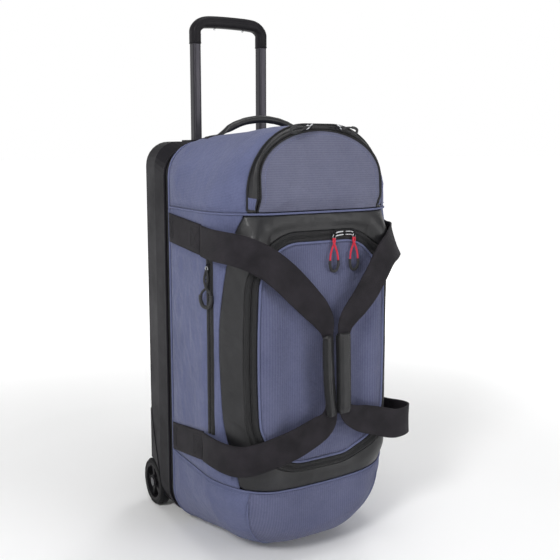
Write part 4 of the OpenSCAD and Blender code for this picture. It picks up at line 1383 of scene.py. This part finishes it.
def grab():
    """The grab handle on the top, and the two tabs that hold its ends."""
    half = [(-101, 706), (-92, 712.5), (-80, 720.5), (-60, 732), (-34, 741.5)]
    pts = curve(half + [(0, 745.5)] + [(-x, z) for x, z in half[::-1]], 10)
    grab_y = -130.0
    path = resample(grid(pts[:, 0], grab_y, pts[:, 1]), 2.5)
    k = np.linspace(0, 1, len(path))
    mid = smooth(0.10, 0.2, k) * smooth(0.10, 0.2, 1 - k)
    wide, tall = 10.5 - 3.4 * mid, 2.2 + 4.4 * mid
    base = ring(1, 24)
    side, n = frames(path, np.array([0, 0, 1.0]))
    v = path[:, None] + side[:, None] * (base[None, :, 0] * wide[:, None])[..., None] \
        + n[:, None] * (base[None, :, 1] * tall[:, None])[..., None]
    v = v + unit(v - path[:, None]) * (0.35 * fractal(v, (9, 20, 12), 141))[..., None]
    cloth = grid(turn_round(24)[None, :] * 7, 240 * k[:, None])
    o = pad_mesh("grab_loop", v, cloth, "grab", COATED, slot="coated_fabric",
                 nodes=("grab_handle",))
    run = slice(int(len(path) * 0.16), int(len(path) * 0.84))
    line = path[run] - n[run] * tall[run, None] * 0.2 + side[run] * wide[run, None] * 0.97
    stitches("grab_loop_stitches", [line], "grab", THREAD, up=side[run], pitch=3.4,
             length=2.3, r=0.36, slot="coated_fabric")
    for sign, name in ((-1, "left"), (1, "right")):
        x = np.linspace(84, 118, 16)[:, None]
        y = np.linspace(-13, 13, 9)[None, :]
        p = surface(grid(sign * x * 0.4, grab_y + y, FLAP_FOOT), grid(sign * x, grab_y + y, 712.0))
        nrm = outward_normals(p)
        p = p + nrm * 2.6
        sheet_grid("grab_tab_" + name, p, grid(y + 13, x), "bag", [WEB, WEB],
                   slot="black_webbing", nodes=("grab_handle_tabs",) if sign < 0 else (),
                   thick=2.2)
        box_stitch("grab_tab_box_" + name, p, nrm, 2, 14, "bag")


# ---------- zips: sliders, pullers, side zip ----------

def place(points, at, right, out):
    """Points given as (right, out, up) laid at a slider."""
    right, out = unit(np.array(right, float)), unit(np.array(out, float))
    m = np.stack([right, out, np.cross(out, right)], 1)
    return np.asarray(points, float) @ m.T + np.asarray(at, float)


def slider(name, node, at, facing, body, size, bridge):
    """A zip slider: a waisted plate on the coil with a raised bridge."""
    w, h, t = size
    k = np.linspace(0, 1, 13)
    half = w / 2 * (0.80 + 0.20 * np.cos(2 * math.pi * k)) * (1 - 0.25 * (2 * k - 1) ** 8)
    spine = grid(0 * k, t * 0.5, h * (k - 0.5))
    sections = np.stack([box_section(2 * a, t, 1.0) for a in half])
    arch = curve([(0, t - 0.4, h * 0.36), (0, t + 1.6, h * 0.30), (0, bridge - 0.9, h * 0.08),
                  (0, bridge - 0.6, -h * 0.10), (0, t + 1.4, -h * 0.30),
                  (0, t - 0.4, -h * 0.36)], 5)
    v, f, c = join([sweep_data(spine, sections, np.array([0, 1.0, 0])),
                    sweep_data(arch, box_section(2.4, 1.3, 0.5), np.array([1.0, 0, 0]))])
    o = make(name, place(v, at, *facing), f, c, body, ENAMEL, slot="slider_metal",
             nodes=(node,))
    turn_outward(o)


def tube(name, pts, r, at, facing, body, mat, closed=False, nodes=(), slot="slider_metal",
         step=1.0, sides=8):
    q = resample(place(pts, at, *facing), step, closed)
    sweep(name, q, ring(r, sides), body, mat, closed=closed, slot=slot, nodes=nodes)


def puller(name, node, at, facing, body, length, wide, mat, r, rise=0.8, neck=0.27):
    """A wire ring, then a crossed loop of cord that ends in a moulded bow."""
    slot = "red_cord" if mat is RED else "black_cord"
    a = turn_round(24)
    wire = grid(2.4 * np.cos(a), 0.5 * np.sin(a), -2.6 + 3.3 * np.sin(a))
    tube(name + "_wire", wire, 0.7, at, facing, body, STEEL, True, step=0.8)
    top, cross, end = -5.4, -length * neck, -length * 0.70
    w = wide / 2 - r
    one = curve([(-0.9, 0.2, top), (-r * 1.2, rise, (cross + top) / 2),
                 (r * 0.5, rise + 0.5, cross), (w * 0.75, rise, cross + (end - cross) * 0.5),
                 (w, rise, end)], 8)
    other = one * (-1, 1, 1)
    other[:, 1] = np.interp(one[:, 2], [end, cross, top], [rise, rise - 0.8 - 0.5 * r, 0.2])
    tube(name + "_cord_a", one, r, at, facing, body, mat, nodes=(node,), slot=slot)
    tube(name + "_cord_b", other, r, at, facing, body, mat, slot=slot)
    knot = grid(1.9 * np.cos(a), 1.5 * np.sin(a), top - 0.8)
    tube(name + "_knot", knot, 1.5, at, facing, body, mat, True, slot=slot, step=0.8)
    if neck > 0.4:
        for k in range(3):
            drop = (cross - top + 0.8) * (k + 1) / 4
            tube(name + "_twist_%d" % k, knot + (0, 0, drop), 1.3, at, facing, body, mat,
                 True, slot=slot, step=0.8)
    half = [(-w, end + 2), (-w * 1.02, -length * 0.79), (-w * 0.66, -length * 0.92)]
    bow = half + [(0, -length + r * 1.4)] + [(-x, z) for x, z in half[::-1]]
    tube(name + "_bow", curve([(x, rise, z) for x, z in bow], 8), r * 1.5, at, facing, body,
         BLACK_CORD, slot="black_cord", sides=10)


def zips():
    z = LID_Z1 + 12.25
    for name, x in (("left", 21), ("right", 61)):
        slider("main_slider_body_" + name, "main_slider_" + name, (x, FRONT - 1.6, z), FACING,
               "main_slide_" + name, (11, 15, 2.8), 6.6)
        puller("main_pull_" + name, "main_puller_" + name, (x, FRONT - 5.3, z), FACING,
               "main_pull_" + name, 62, 19.5, RED, 1.65)
    # the locking loop between the two main sliders is in two halves, one on each
    lock = [(2.5, 5.6, 3.4), (9, 6.4, 5.0), (20, 6.6, 5.4), (31, 6.4, 5.0), (37, 5.6, 3.4)]
    for row, drop in (("a", 0), ("b", -5.2)):
        pts = curve(np.array(lock) + (0, 0, drop), 6)
        half = len(pts) // 2
        for side, part in (("left", pts[:half - 1]), ("right", pts[half + 1:])):
            tube("lock_loop_%s_%s" % (row, side), part, 1.1, (21, FRONT - 0.6, z), FACING,
                 "main_slide_" + side, STEEL)
    r = 170.0
    z0 = ARCH_Z + FLAP_RISE + 7 - r
    out = (0, -1, 0)
    for name, sign in (("left", -1), ("right", 1)):
        t = math.radians(10) * sign
        along = np.array([math.cos(t), 0, -math.sin(t)])
        at = np.array([r * math.sin(t), FRONT - 1.9, z0 + r * math.cos(t)])
        facing = (-math.sin(t), 0, -math.cos(t)), out
        slider("pocket_slider_body_" + name, "pocket_slider_" + name, at, facing,
               "pocket_slide_" + name, (9.5, 13, 2.8), 6.4)
        # the loop lies along the arch, away from the middle
        puller("pocket_pull_" + name, "pocket_puller_" + name, at + (0, -4.7, 0),
               (np.cross(out, sign * along), out), "pocket_pull_" + name, 36, 11.0,
               BLACK_CORD, 1.5)
        hook = curve([(3, 3.2, 4.4 * sign), (1.5, 5.2, 2.0 * sign), (-1.5, 5.6, -2.5 * sign),
                      (-3, 4.6, -7.0 * sign)], 5)
        tube("pocket_lock_" + name, hook, 1.1, at, facing, "pocket_slide_" + name, STEEL)


def side_zip():
    lip, stitch_line = 9.5, 11.5
    zs = np.linspace(228, 520, 150)
    for k, (a, b) in enumerate(((-lip, -1.2), (1.2, lip))):
        v = np.linspace(a, b, 8)
        ss, zz = -(SIDE_ZIP_S + v[None, :]) + 0 * zs[:, None], zs[:, None] + 0 * v[None, :]
        edge = np.abs(v) / lip
        lift = 0.9 + 1.6 * np.sin(math.pi * np.clip(edge, 0, 1)) ** 0.8 - 0.6 * edge
        base = wall(ss, zz)
        amount = lift[None, :] + 0.35 * fractal(grid(ss, zz, 0), (20, 46, 20), 151)
        p = base + wall_normals(ss, zz, base) * amount[..., None]
        sheet_grid("side_zip_lip_%d" % k, p, grid(v[None, :] + 10, zs[:, None]), "bag",
                   [TAPE, TAPE], slot="zip_tape",
                   nodes=("side_zip_tape",) if k == 0 else (), thick=0.9)
    zc = np.linspace(230, 516, 300)
    for k, d in enumerate((-1.1, 1.1)):
        coil("side_coil_%d" % k, wall(0 * zc - (SIDE_ZIP_S + d), zc, 1.0), "bag", 1.2)
    rows, ups = [], []
    for d, ends in ((stitch_line, (224, 522)), (-stitch_line, (522, 224))):
        z = np.linspace(*ends, 80)
        s = 0 * z - (SIDE_ZIP_S + d)
        rows.append(wall(s, z, 1.1))
        ups.append(wall_normals(s, z, rows[-1]))
    stitches("side_zip_stitches", rows, "bag", BLUE_THREAD, up=ups, pitch=4.2, length=2.8,
             r=0.38, slot="side_polyester")
    slider("side_slider_body", "side_slider", (-HALF_W + 1.6, -256, 506),
           ((0, -1, 0), (-1, 0, 0)), "side_slide", (8, 12, 2.4), 5.6)
    c, s = math.cos(math.radians(30)), math.sin(math.radians(30))
    puller("side_pull", "side_puller", (-HALF_W - 3.2, -256, 506), ((s, -c, 0), (-c, -s, 0)),
           "side_pull", 68, 24, BLACK_CORD, 2.1, 3.0, 0.5)


look()
cad_dress()
side_panel("left", -1)
side_panel("right", 1)
top_shell()
gusset()
flap()
front_frame()
lid()
piping()
bottom()
chin()
tray_band()
tray_dress()
wheel_dress()
grip()
sewn_straps()
straps()
sleeve("left", (-5, -360.5), math.radians(38), 27, 14, -2.5, 9)
sleeve("right", (22, -359.5), math.radians(8), 24, 15, 0.5, 3)
grab()
zips()
side_zip()
